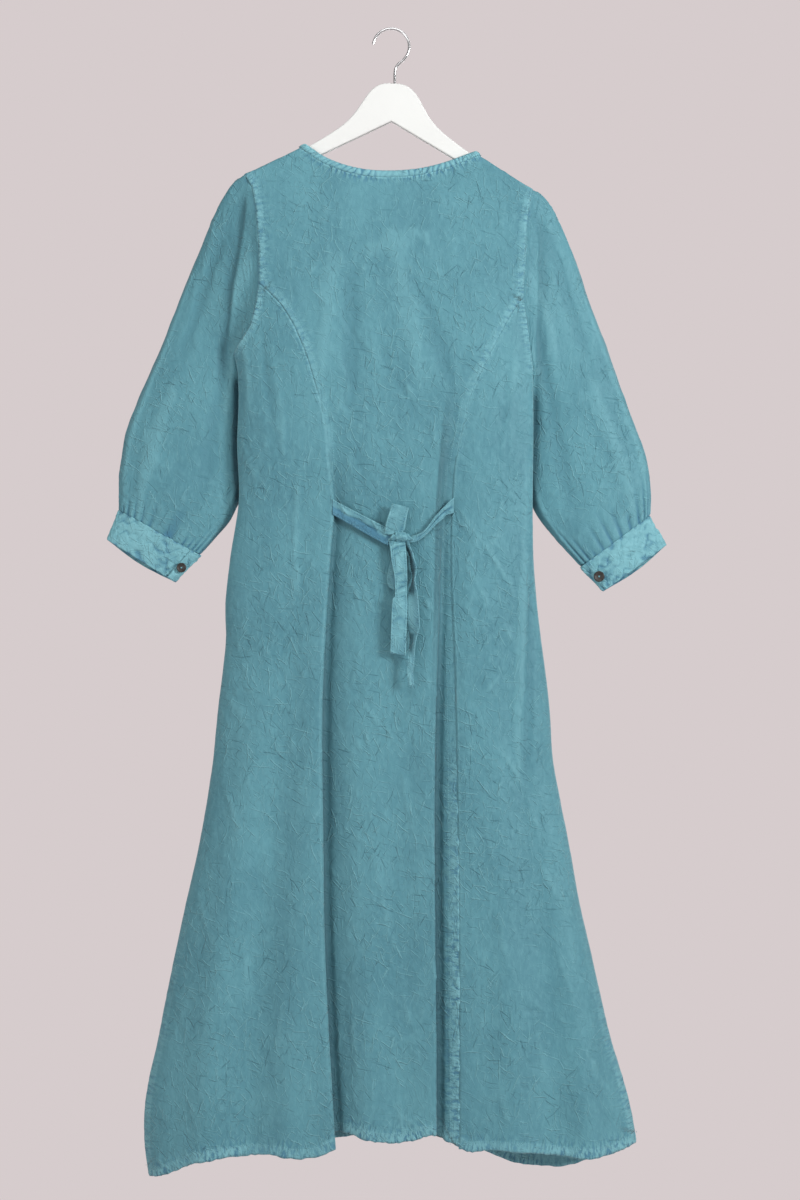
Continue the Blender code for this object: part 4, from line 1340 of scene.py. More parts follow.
def cloth_relief(points, seams, creases, bursts, seed, folded=False):
    """The layers of a panel: height above its smooth form, and the places beside its seams."""
    x, drop = points[:, 0] / MM, -points[:, 2] / MM
    height = crumple(x, drop, seed)
    add_short_creases(height, x, drop, seed)
    add_creases(height, x, drop, creases, bursts, seed)
    layers = {name: np.zeros(len(x)) for name in ("band", "pucker", "along", "off", "shade")}
    for number, seam in enumerate(seams):
        distance, position = beside(x, drop, seam[0])
        calm = 1 - 0.7 * np.exp(-((distance / max(seam[1], 5.0)) ** 4))
        more, paler, strength = seam_relief(distance, position, drop, seam, seed + 10 * number)
        height = height * calm + more
        layers["band"] = np.maximum(layers["band"], paler)
        nearer = strength > layers["pucker"]
        closer = position * PUCKER_PITCH / seam[6] + 900 * number
        layers["along"] = np.where(nearer, closer, layers["along"])
        layers["off"] = np.where(nearer, distance, layers["off"])
        layers["pucker"] = np.maximum(layers["pucker"], strength)
    layers["height"] = height
    if folded:
        depth, layers["shade"] = fold_shade(x, drop)
        layers["form"] = height + depth
    return layers


def unit(vectors):
    return vectors / np.maximum(np.linalg.norm(vectors, axis=-1, keepdims=True), 1e-12)


def grid_points(place, columns, rows, closed):
    count = columns if closed else columns + 1
    u, v = np.meshgrid(np.arange(count) / columns, np.arange(rows + 1) / rows)
    return u, v, place(u.ravel(), v.ravel()).reshape(rows + 1, count, 3)


def grid_normals(points, outward, closed):
    """Outward normals of a grid; outward is a direction, or None for a tube."""
    if closed:
        across = np.roll(points, -1, axis=1) - np.roll(points, 1, axis=1)
    else:
        across = np.gradient(points, axis=1)
    down = np.gradient(points, axis=0)
    normals = unit(np.cross(across, down))
    away = points - points.mean(axis=1, keepdims=True) if outward is None else np.array(outward, float)
    return normals if (normals * away).sum() > 0 else -normals


def build_sheet(name, points, normals, layers, closed, material, wall, inward=True):
    """A mesh from a grid of points: a thin shell with its layers kept as attributes."""
    rows, count = points.shape[:2]
    index = np.arange(rows * count).reshape(rows, count)
    if closed:
        index = np.hstack([index, index[:, :1]])
    a, b, c, d = index[:-1, :-1], index[:-1, 1:], index[1:, 1:], index[1:, :-1]
    faces = np.stack([a, b, c, d], axis=-1).reshape(-1, 4)
    flat = points.reshape(-1, 3)
    first = faces[len(faces) // 2 + (count // 2)]
    turn = np.cross(flat[first[1]] - flat[first[0]], flat[first[3]] - flat[first[0]])
    if (turn * normals.reshape(-1, 3)[first[0]]).sum() < 0:
        faces = faces[:, ::-1]
    mesh = bpy.data.meshes.new(name)
    mesh.from_pydata(flat.tolist(), [], faces.tolist())
    for layer, values in layers.items():
        attribute = mesh.attributes.new(layer, "FLOAT", "POINT")
        attribute.data.foreach_set("value", np.ascontiguousarray(values, np.float32).ravel())
    mesh.shade_smooth()
    mesh.materials.append(material)
    thing = bpy.data.objects.new(name, mesh)
    bpy.context.scene.collection.objects.link(thing)
    if wall:
        solid = thing.modifiers.new("wall", "SOLIDIFY")
        solid.thickness = wall * MM
        solid.offset = -1 if inward else 0
    return thing


def dress(thing, slot, *nodes):
    """Lets a piece ride on the dress and stand for the solids that it covers."""
    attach(thing, "root")
    if nodes:
        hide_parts(*nodes)
    return thing


def stitches(name, lines, material, surfaces):
    """Short thread stitches along lines given as x and drop, laid on the nearest surface."""
    spots, normals = (np.concatenate([s[k].reshape(-1, 3) for s in surfaces]) for k in (0, 1))
    centres, ways = [], []
    for line in lines:
        line = np.asarray(line, float)
        steps = np.hypot(*np.diff(line, axis=0).T)
        travelled = np.concatenate([[0], np.cumsum(steps)])
        places = np.arange(STITCH_PITCH / 2, travelled[-1], STITCH_PITCH)
        ends = []
        for shift in (-0.5, 0.5):
            ends.append([np.interp(places + shift, travelled, line[:, k]) for k in (0, 1)])
        for ax, ay, bx, by in zip(*ends[0], *ends[1]):
            centres.append(((ax + bx) / 2, (ay + by) / 2))
            ways.append((bx - ax, by - ay))
    flat = np.column_stack([spots[:, 0], -spots[:, 2]]) / MM
    vertices, faces = [], []
    for (cx, cy), (wx, wy) in zip(centres, ways):
        away = (flat[:, 0] - cx) ** 2 + (flat[:, 1] - cy) ** 2
        nearest = np.argmin(away)
        if away[nearest] > STITCH_REACH**2:
            continue
        normal = normals[nearest]
        way = unit(np.array([wx, 0, -wy]) - normal * (wx * normal[0] - wy * normal[2]))
        side = np.cross(normal, way)
        middle = np.array([cx * MM, spots[nearest, 1], -cy * MM]) + normal * STITCH_RADIUS * 0.5 * MM
        add_stitch(vertices, faces, middle, way, side, normal)
    return loose_mesh(name, vertices, faces, material)


def add_stitch(vertices, faces, middle, way, side, normal, length=STITCH_LENGTH, radius=STITCH_RADIUS):
    """One spindle-shaped stitch of four sides."""
    start = len(vertices)
    vertices.append(tuple(middle - way * length / 2 * MM - normal * radius * MM))
    for along in (-0.22, 0.22):
        for across, up in ((1, 0), (0, 1), (-1, 0), (0, -1)):
            point = middle + way * along * length * MM + (side * across + normal * up) * radius * MM
            vertices.append(tuple(point))
    vertices.append(tuple(middle + way * length / 2 * MM - normal * radius * MM))
    for k in range(4):
        n = (k + 1) % 4
        faces.append((start, start + 1 + n, start + 1 + k))
        faces.append((start + 1 + k, start + 1 + n, start + 5 + n, start + 5 + k))
        faces.append((start + 9, start + 5 + k, start + 5 + n))


def loose_mesh(name, vertices, faces, material):
    mesh = bpy.data.meshes.new(name)
    mesh.from_pydata(vertices, [], faces)
    mesh.shade_smooth()
    mesh.materials.append(material)
    thing = bpy.data.objects.new(name, mesh)
    bpy.context.scene.collection.objects.link(thing)
    return thing


def add_node(tree, kind, inputs=None, **settings):
    made = tree.nodes.new(kind)
    for key, value in settings.items():
        setattr(made, key, value)
    for key, value in (inputs or {}).items():
        if isinstance(value, bpy.types.NodeSocket):
            tree.links.new(value, made.inputs[key])
        else:
            made.inputs[key].default_value = value
    return made


def calc(tree, operation, a, b=0.0, c=0.0):
    return add_node(tree, "ShaderNodeMath", {0: a, 1: b, 2: c}, operation=operation).outputs[0]


def mix(tree, factor, a, b, blend="MIX"):
    """Mixes two colours; a colour is a socket or three numbers."""
    a, b = (value if isinstance(value, bpy.types.NodeSocket) else (*value, 1) for value in (a, b))
    made = add_node(
        tree, "ShaderNodeMix", {"Factor": factor, 6: a, 7: b}, data_type="RGBA", blend_type=blend
    )
    return made.outputs[2]


def ramp(tree, value, low, high):
    """0 below the low value, 1 above the high one, smooth between."""
    made = add_node(
        tree, "ShaderNodeMapRange", {0: value, 1: low, 2: high}, interpolation_type="SMOOTHSTEP"
    )
    return made.outputs[0]


def attribute(tree, name):
    return add_node(tree, "ShaderNodeAttribute", attribute_name=name).outputs["Fac"]


def new_material(name, roughness, metallic=0.0):
    material = bpy.data.materials.new(name)
    material.use_nodes = True
    shader = material.node_tree.nodes["Principled BSDF"]
    shader.inputs["Roughness"].default_value = roughness
    shader.inputs["Metallic"].default_value = metallic
    return material, material.node_tree, shader


def place_in(tree, scale):
    """The point on the object, scaled by this much along each axis."""
    at = add_node(tree, "ShaderNodeTexCoord").outputs["Object"]
    return add_node(tree, "ShaderNodeMapping", {0: at, 3: scale}).outputs[0]


def noise(tree, at, scale, detail=2.0, roughness=0.5):
    inputs = {"Vector": at, "Scale": scale, "Detail": detail, "Roughness": roughness}
    return add_node(tree, "ShaderNodeTexNoise", inputs)


def vector(tree, operation, a, b):
    return add_node(tree, "ShaderNodeVectorMath", {0: a, 1: b}, operation=operation).outputs[0]


def strokes(tree, flat, size, width, seed):
    """Short straight creases, one to each scattered cell: from -1, a groove, to 1, a ridge."""
    at = vector(tree, "ADD", flat, (seed, seed * 0.6, 0))
    cells = add_node(
        tree, "ShaderNodeTexVoronoi", {"Vector": at, "Scale": 1 / size}, voronoi_dimensions="2D"
    )
    away = vector(tree, "SUBTRACT", at, cells.outputs["Position"])
    chance = add_node(tree, "ShaderNodeSeparateColor", {0: cells.outputs["Color"]}).outputs
    turn = calc(tree, "MULTIPLY_ADD", chance[0], -CREASE_SPREAD, CREASE_SPREAD / 2 - CREASE_LEAN)
    turned = add_node(
        tree, "ShaderNodeVectorRotate", {"Vector": away, "Angle": turn}, rotation_type="Z_AXIS"
    ).outputs[0]
    parts = add_node(tree, "ShaderNodeSeparateXYZ", {0: turned}).outputs
    bow = calc(tree, "MULTIPLY", calc(tree, "MULTIPLY_ADD", chance[1], 26.0, -13.0), parts[0])
    across = calc(tree, "ABSOLUTE", calc(tree, "MULTIPLY_ADD", bow, parts[0], parts[1]))
    line = calc(tree, "SUBTRACT", 1.0, ramp(tree, across, 0.0, width))
    along = calc(tree, "ABSOLUTE", parts[0])
    window = calc(tree, "SUBTRACT", 1.0, ramp(tree, along, size * 0.26, size * 0.60))
    amount = calc(tree, "MULTIPLY_ADD", chance[2], 3.4, -1.3)
    amount = calc(tree, "MINIMUM", calc(tree, "MAXIMUM", amount, -1.0), 1.0)
    return calc(tree, "MULTIPLY", calc(tree, "MULTIPLY", line, window), amount)


def seam_ribs(tree):
    """Ribs of puckered cloth beside a seam, from 0 to 1, and how strong they are."""
    along = calc(tree, "MULTIPLY", attribute(tree, "along"), 1 / PUCKER_PITCH)
    off = calc(tree, "MULTIPLY", attribute(tree, "off"), 0.35 / PUCKER_PITCH)
    at = add_node(tree, "ShaderNodeCombineXYZ", {0: along, 1: off}).outputs[0]
    ribs = add_node(
        tree, "ShaderNodeTexNoise", {"Vector": at, "Scale": 1.6, "Detail": 2.0, "Roughness": 0.6},
        noise_dimensions="2D",
    ).outputs[0]
    return ramp(tree, ribs, 0.33, 0.67), attribute(tree, "pucker")


def towards(tree, colour, tone, amount, share):
    """The colour, mixed towards a tone by a share of the amount."""
    return mix(tree, calc(tree, "MULTIPLY", amount, share), colour, tone)


def cloth_material(name, base, deep, pale, sheen):
    """Garment-dyed and washed plain weave: blotched, finely crinkled, paler on its ridges as rubbed wear and
    painted highlight, with painted shade in its grooves.
    """
    material, tree, shader = new_material(name, 0.6)
    parts = add_node(tree, "ShaderNodeSeparateXYZ", {0: place_in(tree, (1, 1, 1))}).outputs
    flat = add_node(tree, "ShaderNodeCombineXYZ", {0: parts[0], 1: parts[2], 2: parts[1]}).outputs[0]
    wander = vector(tree, "MULTIPLY", noise(tree, flat, 60.0, 2.0).outputs["Color"], (0.003, 0.003, 0))
    bent = vector(tree, "ADD", flat, wander)
    calm = ramp(tree, noise(tree, flat, 11.0, 2.0).outputs[0], 0.34, 0.60)
    calm = calc(tree, "MULTIPLY_ADD", calm, 0.6, 0.4)
    relief = 0.0
    for size, width, tall, seed in CREASE_LAYERS:
        layer = strokes(tree, bent, size * MM, width * MM, seed)
        relief = calc(tree, "MULTIPLY_ADD", layer, tall, relief)
    relief = calc(tree, "MULTIPLY", relief, calm)
    blotch = noise(tree, place_in(tree, (1, 1, 0.5)), 15.0, 4.0, 0.6).outputs[0]
    blotch = calc(tree, "MULTIPLY_ADD", ramp(tree, blotch, 0.30, 0.68), 0.65, 0.35)
    colour = mix(tree, blotch, deep, base)
    fine = noise(tree, place_in(tree, (1, 1, 0.4)), 230.0, 3.0, 0.65).outputs[0]
    colour = towards(tree, colour, pale, ramp(tree, fine, 0.38, 0.78), 0.30)
    # Painted light of the fine creases: ridges mixed paler, partly rubbed wear and partly painted highlight,
    # grooves mixed darker as painted shade
    colour = towards(tree, colour, pale, ramp(tree, relief, 0.10, 0.60), 0.70)
    groove_shade = calc(tree, "MULTIPLY", relief, -1.0)
    colour = towards(tree, colour, deep, ramp(tree, groove_shade, 0.10, 0.60), 0.55)
    # The same from the mesh relief: paler on its crests, painted shade in its low places
    height = attribute(tree, "height")
    colour = towards(tree, colour, pale, ramp(tree, height, 0.3, 1.6), 0.35)
    low = calc(tree, "MULTIPLY", height, -1.0)
    colour = towards(tree, colour, deep, ramp(tree, low, 0.2, 1.4), 0.45)
    mottle = ramp(tree, noise(tree, place_in(tree, (1, 1, 1)), 140.0, 3.0, 0.6).outputs[0], 0.3, 0.62)
    # Pale bands beside seams as worn cloth, and paler crests, rims and edges of the trims as painted
    # highlight
    pale_band_and_highlight = calc(tree, "MULTIPLY", attribute(tree, "band"), calc(tree, "MULTIPLY_ADD", mottle, 0.6, 0.30))
    colour = mix(tree, pale_band_and_highlight, colour, BAND_TEAL)
    # Seam puckers: rib tops mixed paler, partly painted highlight, and blue shade painted in the rib valleys
    ribs, strength = seam_ribs(tree)
    bright = calc(tree, "MULTIPLY", ramp(tree, ribs, 0.5, 1.0), calc(tree, "MULTIPLY", strength, 0.6))
    colour = mix(tree, bright, colour, BAND_TEAL)
    rib_valley_shade = calc(tree, "MULTIPLY", ramp(tree, calc(tree, "SUBTRACT", 1.0, ribs), 0.55, 1.0), strength)
    colour = towards(tree, colour, PAINTED_BLUE_SHADE, rib_valley_shade, 0.75)
    # Blue shade painted into the valleys of gathers, ribs and creases, and on folded ribbon halves
    colour = towards(tree, colour, PAINTED_BLUE_SHADE, attribute(tree, "painted_blue_shade"), 0.75)
    # Painted shade: the shade layer mixes the colour towards near-black teal in fold valleys, ribbon hollows
    # and on the sleeve beside the body
    shade = calc(tree, "MINIMUM", calc(tree, "MULTIPLY", attribute(tree, "shade"), 0.86), 0.93)
    colour = mix(tree, shade, colour, PAINTED_SHADE_TEAL)
    tree.links.new(colour, shader.inputs["Base Color"])
    facet = add_node(
        tree, "ShaderNodeTexVoronoi", {"Vector": place_in(tree, (1, 1, 0.6)), "Scale": 110.0}
    ).outputs["Distance"]
    slub = noise(tree, place_in(tree, (1, 1, 1)), 620.0, 2.0).outputs[0]
    total = calc(tree, "MULTIPLY_ADD", facet, 0.22, relief)
    total = calc(tree, "MULTIPLY_ADD", slub, 0.06, total)
    puckers = calc(tree, "MULTIPLY", ribs, strength)
    total = calc(tree, "MULTIPLY_ADD", puckers, 0.9, total)
    bump = add_node(tree, "ShaderNodeBump", {"Height": total, "Strength": 1.0, "Distance": MM})
    tree.links.new(bump.outputs[0], shader.inputs["Normal"])
    shader.inputs["Sheen Weight"].default_value = sheen
    shader.inputs["Sheen Roughness"].default_value = 0.45
    shader.inputs["Specular IOR Level"].default_value = 0.3
    return material


def thread_material():
    material, tree, shader = new_material("thread", 0.5)
    strands = noise(tree, place_in(tree, (1, 1, 1)), 900.0, 2.0).outputs[0]
    tree.links.new(mix(tree, strands, BAND_TEAL, TEAL_PALE), shader.inputs["Base Color"])
    bump = add_node(tree, "ShaderNodeBump", {"Height": strands, "Strength": 0.4, "Distance": 0.0002})
    tree.links.new(bump.outputs[0], shader.inputs["Normal"])
    return material


def paint_material():
    """White satin paint over flat wood, faintly brushed."""
    material, tree, shader = new_material("white_paint", 0.38)
    tone = noise(tree, place_in(tree, (1, 1, 1)), 14.0, 3.0).outputs[0]
    tree.links.new(mix(tree, tone, (0.74, 0.755, 0.735), (0.80, 0.815, 0.795)), shader.inputs["Base Color"])
    grain = noise(tree, place_in(tree, (1, 6, 9)), 60.0, 4.0, 0.6).outputs[0]
    bump = add_node(tree, "ShaderNodeBump", {"Height": grain, "Strength": 0.12, "Distance": 0.0004})
    tree.links.new(bump.outputs[0], shader.inputs["Normal"])
    return material


def chrome_material():
    material, tree, shader = new_material("chrome_wire", 0.16, 1.0)
    wear = noise(tree, place_in(tree, (1, 1, 1)), 220.0, 3.0).outputs[0]
    tree.links.new(mix(tree, wear, (0.62, 0.62, 0.63), (0.80, 0.80, 0.81)), shader.inputs["Base Color"])
    rough = calc(tree, "ADD", calc(tree, "MULTIPLY", wear, 0.14), 0.1)
    tree.links.new(rough, shader.inputs["Roughness"])
    return material


def button_material():
    material, tree, shader = new_material("dark_wood", 0.45)
    grain = noise(tree, place_in(tree, (1, 1, 7)), 160.0, 4.0, 0.6).outputs[0]
    colour = mix(tree, grain, (0.010, 0.009, 0.008), (0.046, 0.038, 0.032))
    tree.links.new(colour, shader.inputs["Base Color"])
    bump = add_node(tree, "ShaderNodeBump", {"Height": grain, "Strength": 0.3, "Distance": 0.0003})
    tree.links.new(bump.outputs[0], shader.inputs["Normal"])
    return material


def table_line(rows, low=None, high=None, swap=True, smooth=True):
    """A table of drop and x, or x and drop, as a line of points with x first."""
    keys = np.linspace(rows[0][0] if low is None else low, rows[-1][0] if high is None else high, 160)
    values = through(rows, keys) if smooth else straight(rows, keys)
    return np.column_stack([values, keys] if swap else [keys, values])


def side_line(column):
    """A side seam as a line of points, by its column in the outline of the body."""
    drops = np.linspace(ARMPIT["left" if column == 1 else "right"], 1560, 200)
    return np.column_stack([through(BODY_SIDES, drops, column), drops])


def panel(name, place, grid, outward, seams, creases, bursts, seed, material, tuck=0.0):
    """One panel of the body: its smooth form, its relief and its mesh.

    tuck slides its edge at u = 0 sideways, under the centre panel, in millimetres.
    """
    u, _, points = grid_points(place, *grid, False)
    normals = grid_normals(points, outward, False)
    folded = name == "cloth_back_centre"
    layers = cloth_relief(points.reshape(-1, 3), seams, creases, bursts, seed, folded)
    form = layers.pop("form", layers["height"])
    points = points + normals * form.reshape(u.shape + (1,)) * MM
    points[:, 0] += np.array([tuck, TUCK_DEPTH if tuck else 0, 0]) * MM
    hem_x = points[-1, :, 0] / MM
    tufts = 0.9 * soft_noise(hem_x / 3.6, 0 * hem_x, seed) + 0.6 * soft_noise(hem_x / 12, 0 * hem_x, 2)
    points[-1, :, 2] += tufts * MM
    fine = grid_normals(points, outward, False)
    thing = build_sheet(name, points, fine, layers, False, material, SHELL)
    dress(thing, "dress_cloth", name.replace("cloth_", ""))
    return thing, (points, fine)


def moved(line, distance, direction):
    """A line shifted sideways: direction is +1 to the right of its way and -1 to the left."""
    line = np.asarray(line, float)
    way = unit(np.gradient(line, axis=0))
    return line + np.column_stack([way[:, 1], -way[:, 0]]) * distance * direction


# A seam is its line, the width of its band, its puckers, its paleness, the drops where its
# puckers start and where they are full, and their pitch.
def armhole_seam(line):
    return line, ARMHOLE_BAND, 0.75, 0.45, -1, 0, PUCKER_PITCH


def hem_seam(line):
    return line, HEM_BAND, 1.0, 0.6, -1, 0, 6.0


def neck_seam(rows, pucker):
    return np.column_stack(neck_line(rows, 1)), 0, pucker, 0, -1, 0, PUCKER_PITCH


BACK_SIDES = (
    # side, column of the body's outline, panel, puckers and paleness under the arm, drop where the puckers
    # of the princess seam are full, drop where those of the side seam start, seed, flat size, area, tuck
    ("left", 1, place_back_side_left, 0.8, 0.5, 420, 1150, 5, (0.30, 1.22), 0.24, 2.4),
    ("right", 2, place_back_side_right, 0.7, 0.4, 440, 1200, 7, (0.29, 1.16), 0.23, -2.4),
)


def make_body(cloth, thread):
    """The four panels of the body, then their rows of stitches."""
    back, ahead = (0, -1, 0), (0, 1, 0)
    upper, under, princess, curve = {}, {}, {}, {}
    for side, armhole, seam in (
        ("left", ARMHOLE_BACK_LEFT, PRINCESS_LEFT), ("right", ARMHOLE_BACK_RIGHT, PRINCESS_RIGHT),
    ):
        upper[side] = table_line(armhole, armhole[0][0], seam[0][0], smooth=False)
        under[side] = table_line(armhole, seam[0][0], None, smooth=False)
        princess[side] = table_line(seam)
        curve[side] = table_line(seam, None, CURVE_END)
    skirt_right = table_line(PRINCESS_RIGHT, CURVE_END, None)
    hem_rows = {
        "centre": HEM_BACK_CENTRE, "left": HEM_BACK_LEFT, "right": HEM_BACK_RIGHT, "front": HEM_FRONT,
    }
    hems = {place: table_line(rows, swap=False) for place, rows in hem_rows.items()}
    # Each seam: line, width of its band, puckers, paleness, drops where they start and are full, pitch
    seams = [
        armhole_seam(upper["left"]), armhole_seam(upper["right"]),
        (curve["left"], PRINCESS_BAND, 0.6, 0.42, 560, 420, 8.0),
        (curve["right"], PRINCESS_BAND, 0.6, 0.42, 600, 440, 8.0),
        (skirt_right, SKIRT_BAND, 0.95, 0.62, 900, 1180, 10.0),
        hem_seam(hems["centre"]), neck_seam(NECK_BACK, 1.1),
    ]
    centre = panel(
        "cloth_back_centre", place_back_centre, BACK_CENTRE_GRID, back, seams,
        CREASES_BACK, STARBURSTS_BACK, 3, cloth,
    )
    made = {}
    for side, column, place, pucker, pale, full, start, seed, flat, area, tuck in BACK_SIDES:
        seams = [
            (under[side], ARMHOLE_BAND * UNDER_ARM_SHARE, pucker, pale, -1, 0, 5.0),
            (princess[side], 0, 0.4, 0, 640, full, 8.0),
            (side_line(column), SIDE_BAND, 0.7, 0.5, start, 1450, 5.5),
            hem_seam(hems[side]),
        ]
        made[side] = panel(
            "cloth_back_side_" + side, place, BACK_SIDE_GRID, back, seams,
            CREASES_BACK, STARBURSTS_BACK, seed, cloth, tuck,
        )
    seams = [
        armhole_seam(table_line(ARMHOLE_FRONT_LEFT, smooth=False)),
        armhole_seam(table_line(ARMHOLE_FRONT_RIGHT, smooth=False)),
        (side_line(1), SIDE_BAND, 0.7, 0.5, 1150, 1450, 5.5),
        (side_line(2), SIDE_BAND, 0.7, 0.5, 1200, 1450, 5.5),
        hem_seam(hems["front"]), neck_seam(NECK_FRONT, 0.7),
    ]
    front = panel(
        "cloth_front", place_front, FRONT_GRID, ahead, seams,
        CREASES_FRONT, STARBURSTS_FRONT, 9, cloth,
    )
    inset = ARMHOLE_BAND - STITCH_INSET
    lines = [
        moved(upper["left"], inset, 1), moved(upper["right"], inset, -1),
        moved(curve["left"], PRINCESS_BAND - STITCH_INSET, 1),
        moved(curve["right"], PRINCESS_BAND - STITCH_INSET, -1),
        moved(skirt_right, SKIRT_BAND - STITCH_INSET, -1),
        moved(hems["centre"], HEM_BAND - STITCH_INSET, 1),
    ]
    dress(stitches("stitches_back_centre", lines, thread, [centre[1]]), "band_cloth")
    for side, turn in (("left", 1), ("right", -1)):
        hem = moved(hems[side], HEM_BAND - STITCH_INSET, 1)
        lines = [hem, moved(under[side], inset * UNDER_ARM_SHARE, turn)]
        dress(stitches("stitches_back_side_" + side, lines, thread, [made[side][1]]), "band_cloth")
    lines = [moved(hems["front"], HEM_BAND - STITCH_INSET, 1)]
    dress(stitches("stitches_front", lines, thread, [front[1]]), "band_cloth")


def make_sleeve(side, cloth):
    place = place_sleeve(side)
    u, v, points = grid_points(place, *SLEEVE_GRID, True)
    normals = grid_normals(points, None, True)
    shape = u.shape
    w, t = u.ravel(), v.ravel()
    seed = 21 if side == "left" else 27
    rows = SLEEVE_LEFT if side == "left" else SLEEVE_RIGHT
    length = math.hypot(rows[-1][0] - rows[0][0], rows[-1][1] - rows[0][1])
    around, along = w * SLEEVE_ROUND, t * length
    height = crumple(around, along, seed) * 1.2
    add_short_creases(height, around, along, seed)
    for at, start, end, tall, half, drift in SLEEVE_FOLDS:
        share = (t - start) / (end - start)
        middle = at + drift * share
        window = np.clip(4 * share * (1 - share), 0, 1) * (share > 0) * (share < 1)
        height = height + tall * window * np.exp(-(((w - middle) / half) ** 2))
    phase = w * SLEEVE_GATHERS + 1.6 * soft_noise(w * 9, 0 * w, seed)
    reach = 0.10 + 0.09 * soft_noise(w * SLEEVE_GATHERS * 0.7, 0 * w + 3, seed + 1)
    gathered = np.clip(1 - (1 - t) / reach, 0, 1) ** 0.8
    from_cuff = (1 - t) * length
    pressed = 1 - 0.8 * np.exp(-((from_cuff / 2.5) ** 2))
    uneven = 0.8 + 0.6 * soft_noise(w * 13, 0 * w + 9, seed + 4)
    groove = (0.5 - 0.5 * np.cos(2 * math.pi * phase)) ** 4
    gathers = (0.35 - 1.35 * groove) * uneven
    height = height * (1 - 0.6 * gathered) + SLEEVE_GATHER_HEIGHT * gathers * gathered * pressed
    tucks = soft_noise(w * ARMHOLE_TUCKS, t * 6, seed + 2) * np.exp(-((along / 16) ** 2))
    seam = np.exp(-((along / 1.6) ** 2))
    underarm = np.abs(w - 0.5) * SLEEVE_ROUND
    height = height + 0.7 * tucks - 0.9 * seam - 0.6 * np.exp(-((underarm / 1.4) ** 2))
    height = height - 1.0 * np.exp(-((from_cuff / 2.5) ** 2))
    # Painted light on the sleeve: blue shade painted in the gather valleys and armhole tucks, paler colour
    # on the gather crests as painted highlight and beside the armhole seam as its band
    valley = np.clip(-gathers - 0.2, 0, 1) * gathered
    painted_blue_shade = valley * (0.9 + 1.6 * np.exp(-((from_cuff / 14) ** 2))) + np.clip(-tucks - 0.3, 0, 1)
    band = 0.6 * np.exp(-((along / 4) ** 2)) + 0.5 * np.clip(gathers, 0, 1) * gathered
    x, drop = points[:, :, 0].ravel() / MM, -points[:, :, 2].ravel() / MM
    line, start, end, depth, half = SLEEVE_STEP[side]
    past = (straight(line, drop) - x) * (1 if side == "left" else -1)
    beyond = np.where(past > 0, past / half, -past / 2.5)
    step = np.exp(-(beyond**2)) * smoothstep((drop - start) / 40) * (1 - smoothstep((drop - end) / 60))
    step = np.where(w < 0.5, step, 0)
    height = height - depth * step
    points = points + normals * height.reshape(shape + (1,)) * MM
    fine = grid_normals(points, None, True)
    # Shade painted on the back of the sleeve where it passes behind the body's side, and along its soft step
    column, sign, deepest = (1, -1, 1.0) if side == "left" else (2, 1, 0.6)
    gap = sign * (x - through(BODY_SIDES, drop, column))
    window = smoothstep((drop - SLIT[side][0]) / 25) * (1 - smoothstep((drop - SLIT[side][1]) / 25))
    shade = np.where(w < 0.5, deepest, 0) * window * np.exp(-(np.maximum(gap, 0) / 9.0) ** 4)
    shade = np.maximum(1.3 * shade, 0.10 * depth * step)
    layers = {"height": height, "band": band, "painted_blue_shade": np.clip(painted_blue_shade, 0, 1), "shade": shade}
    thing = build_sheet("cloth_sleeve_" + side, points, fine, layers, True, cloth, SHELL)
    dress(thing, "dress_cloth", "sleeve_" + side)


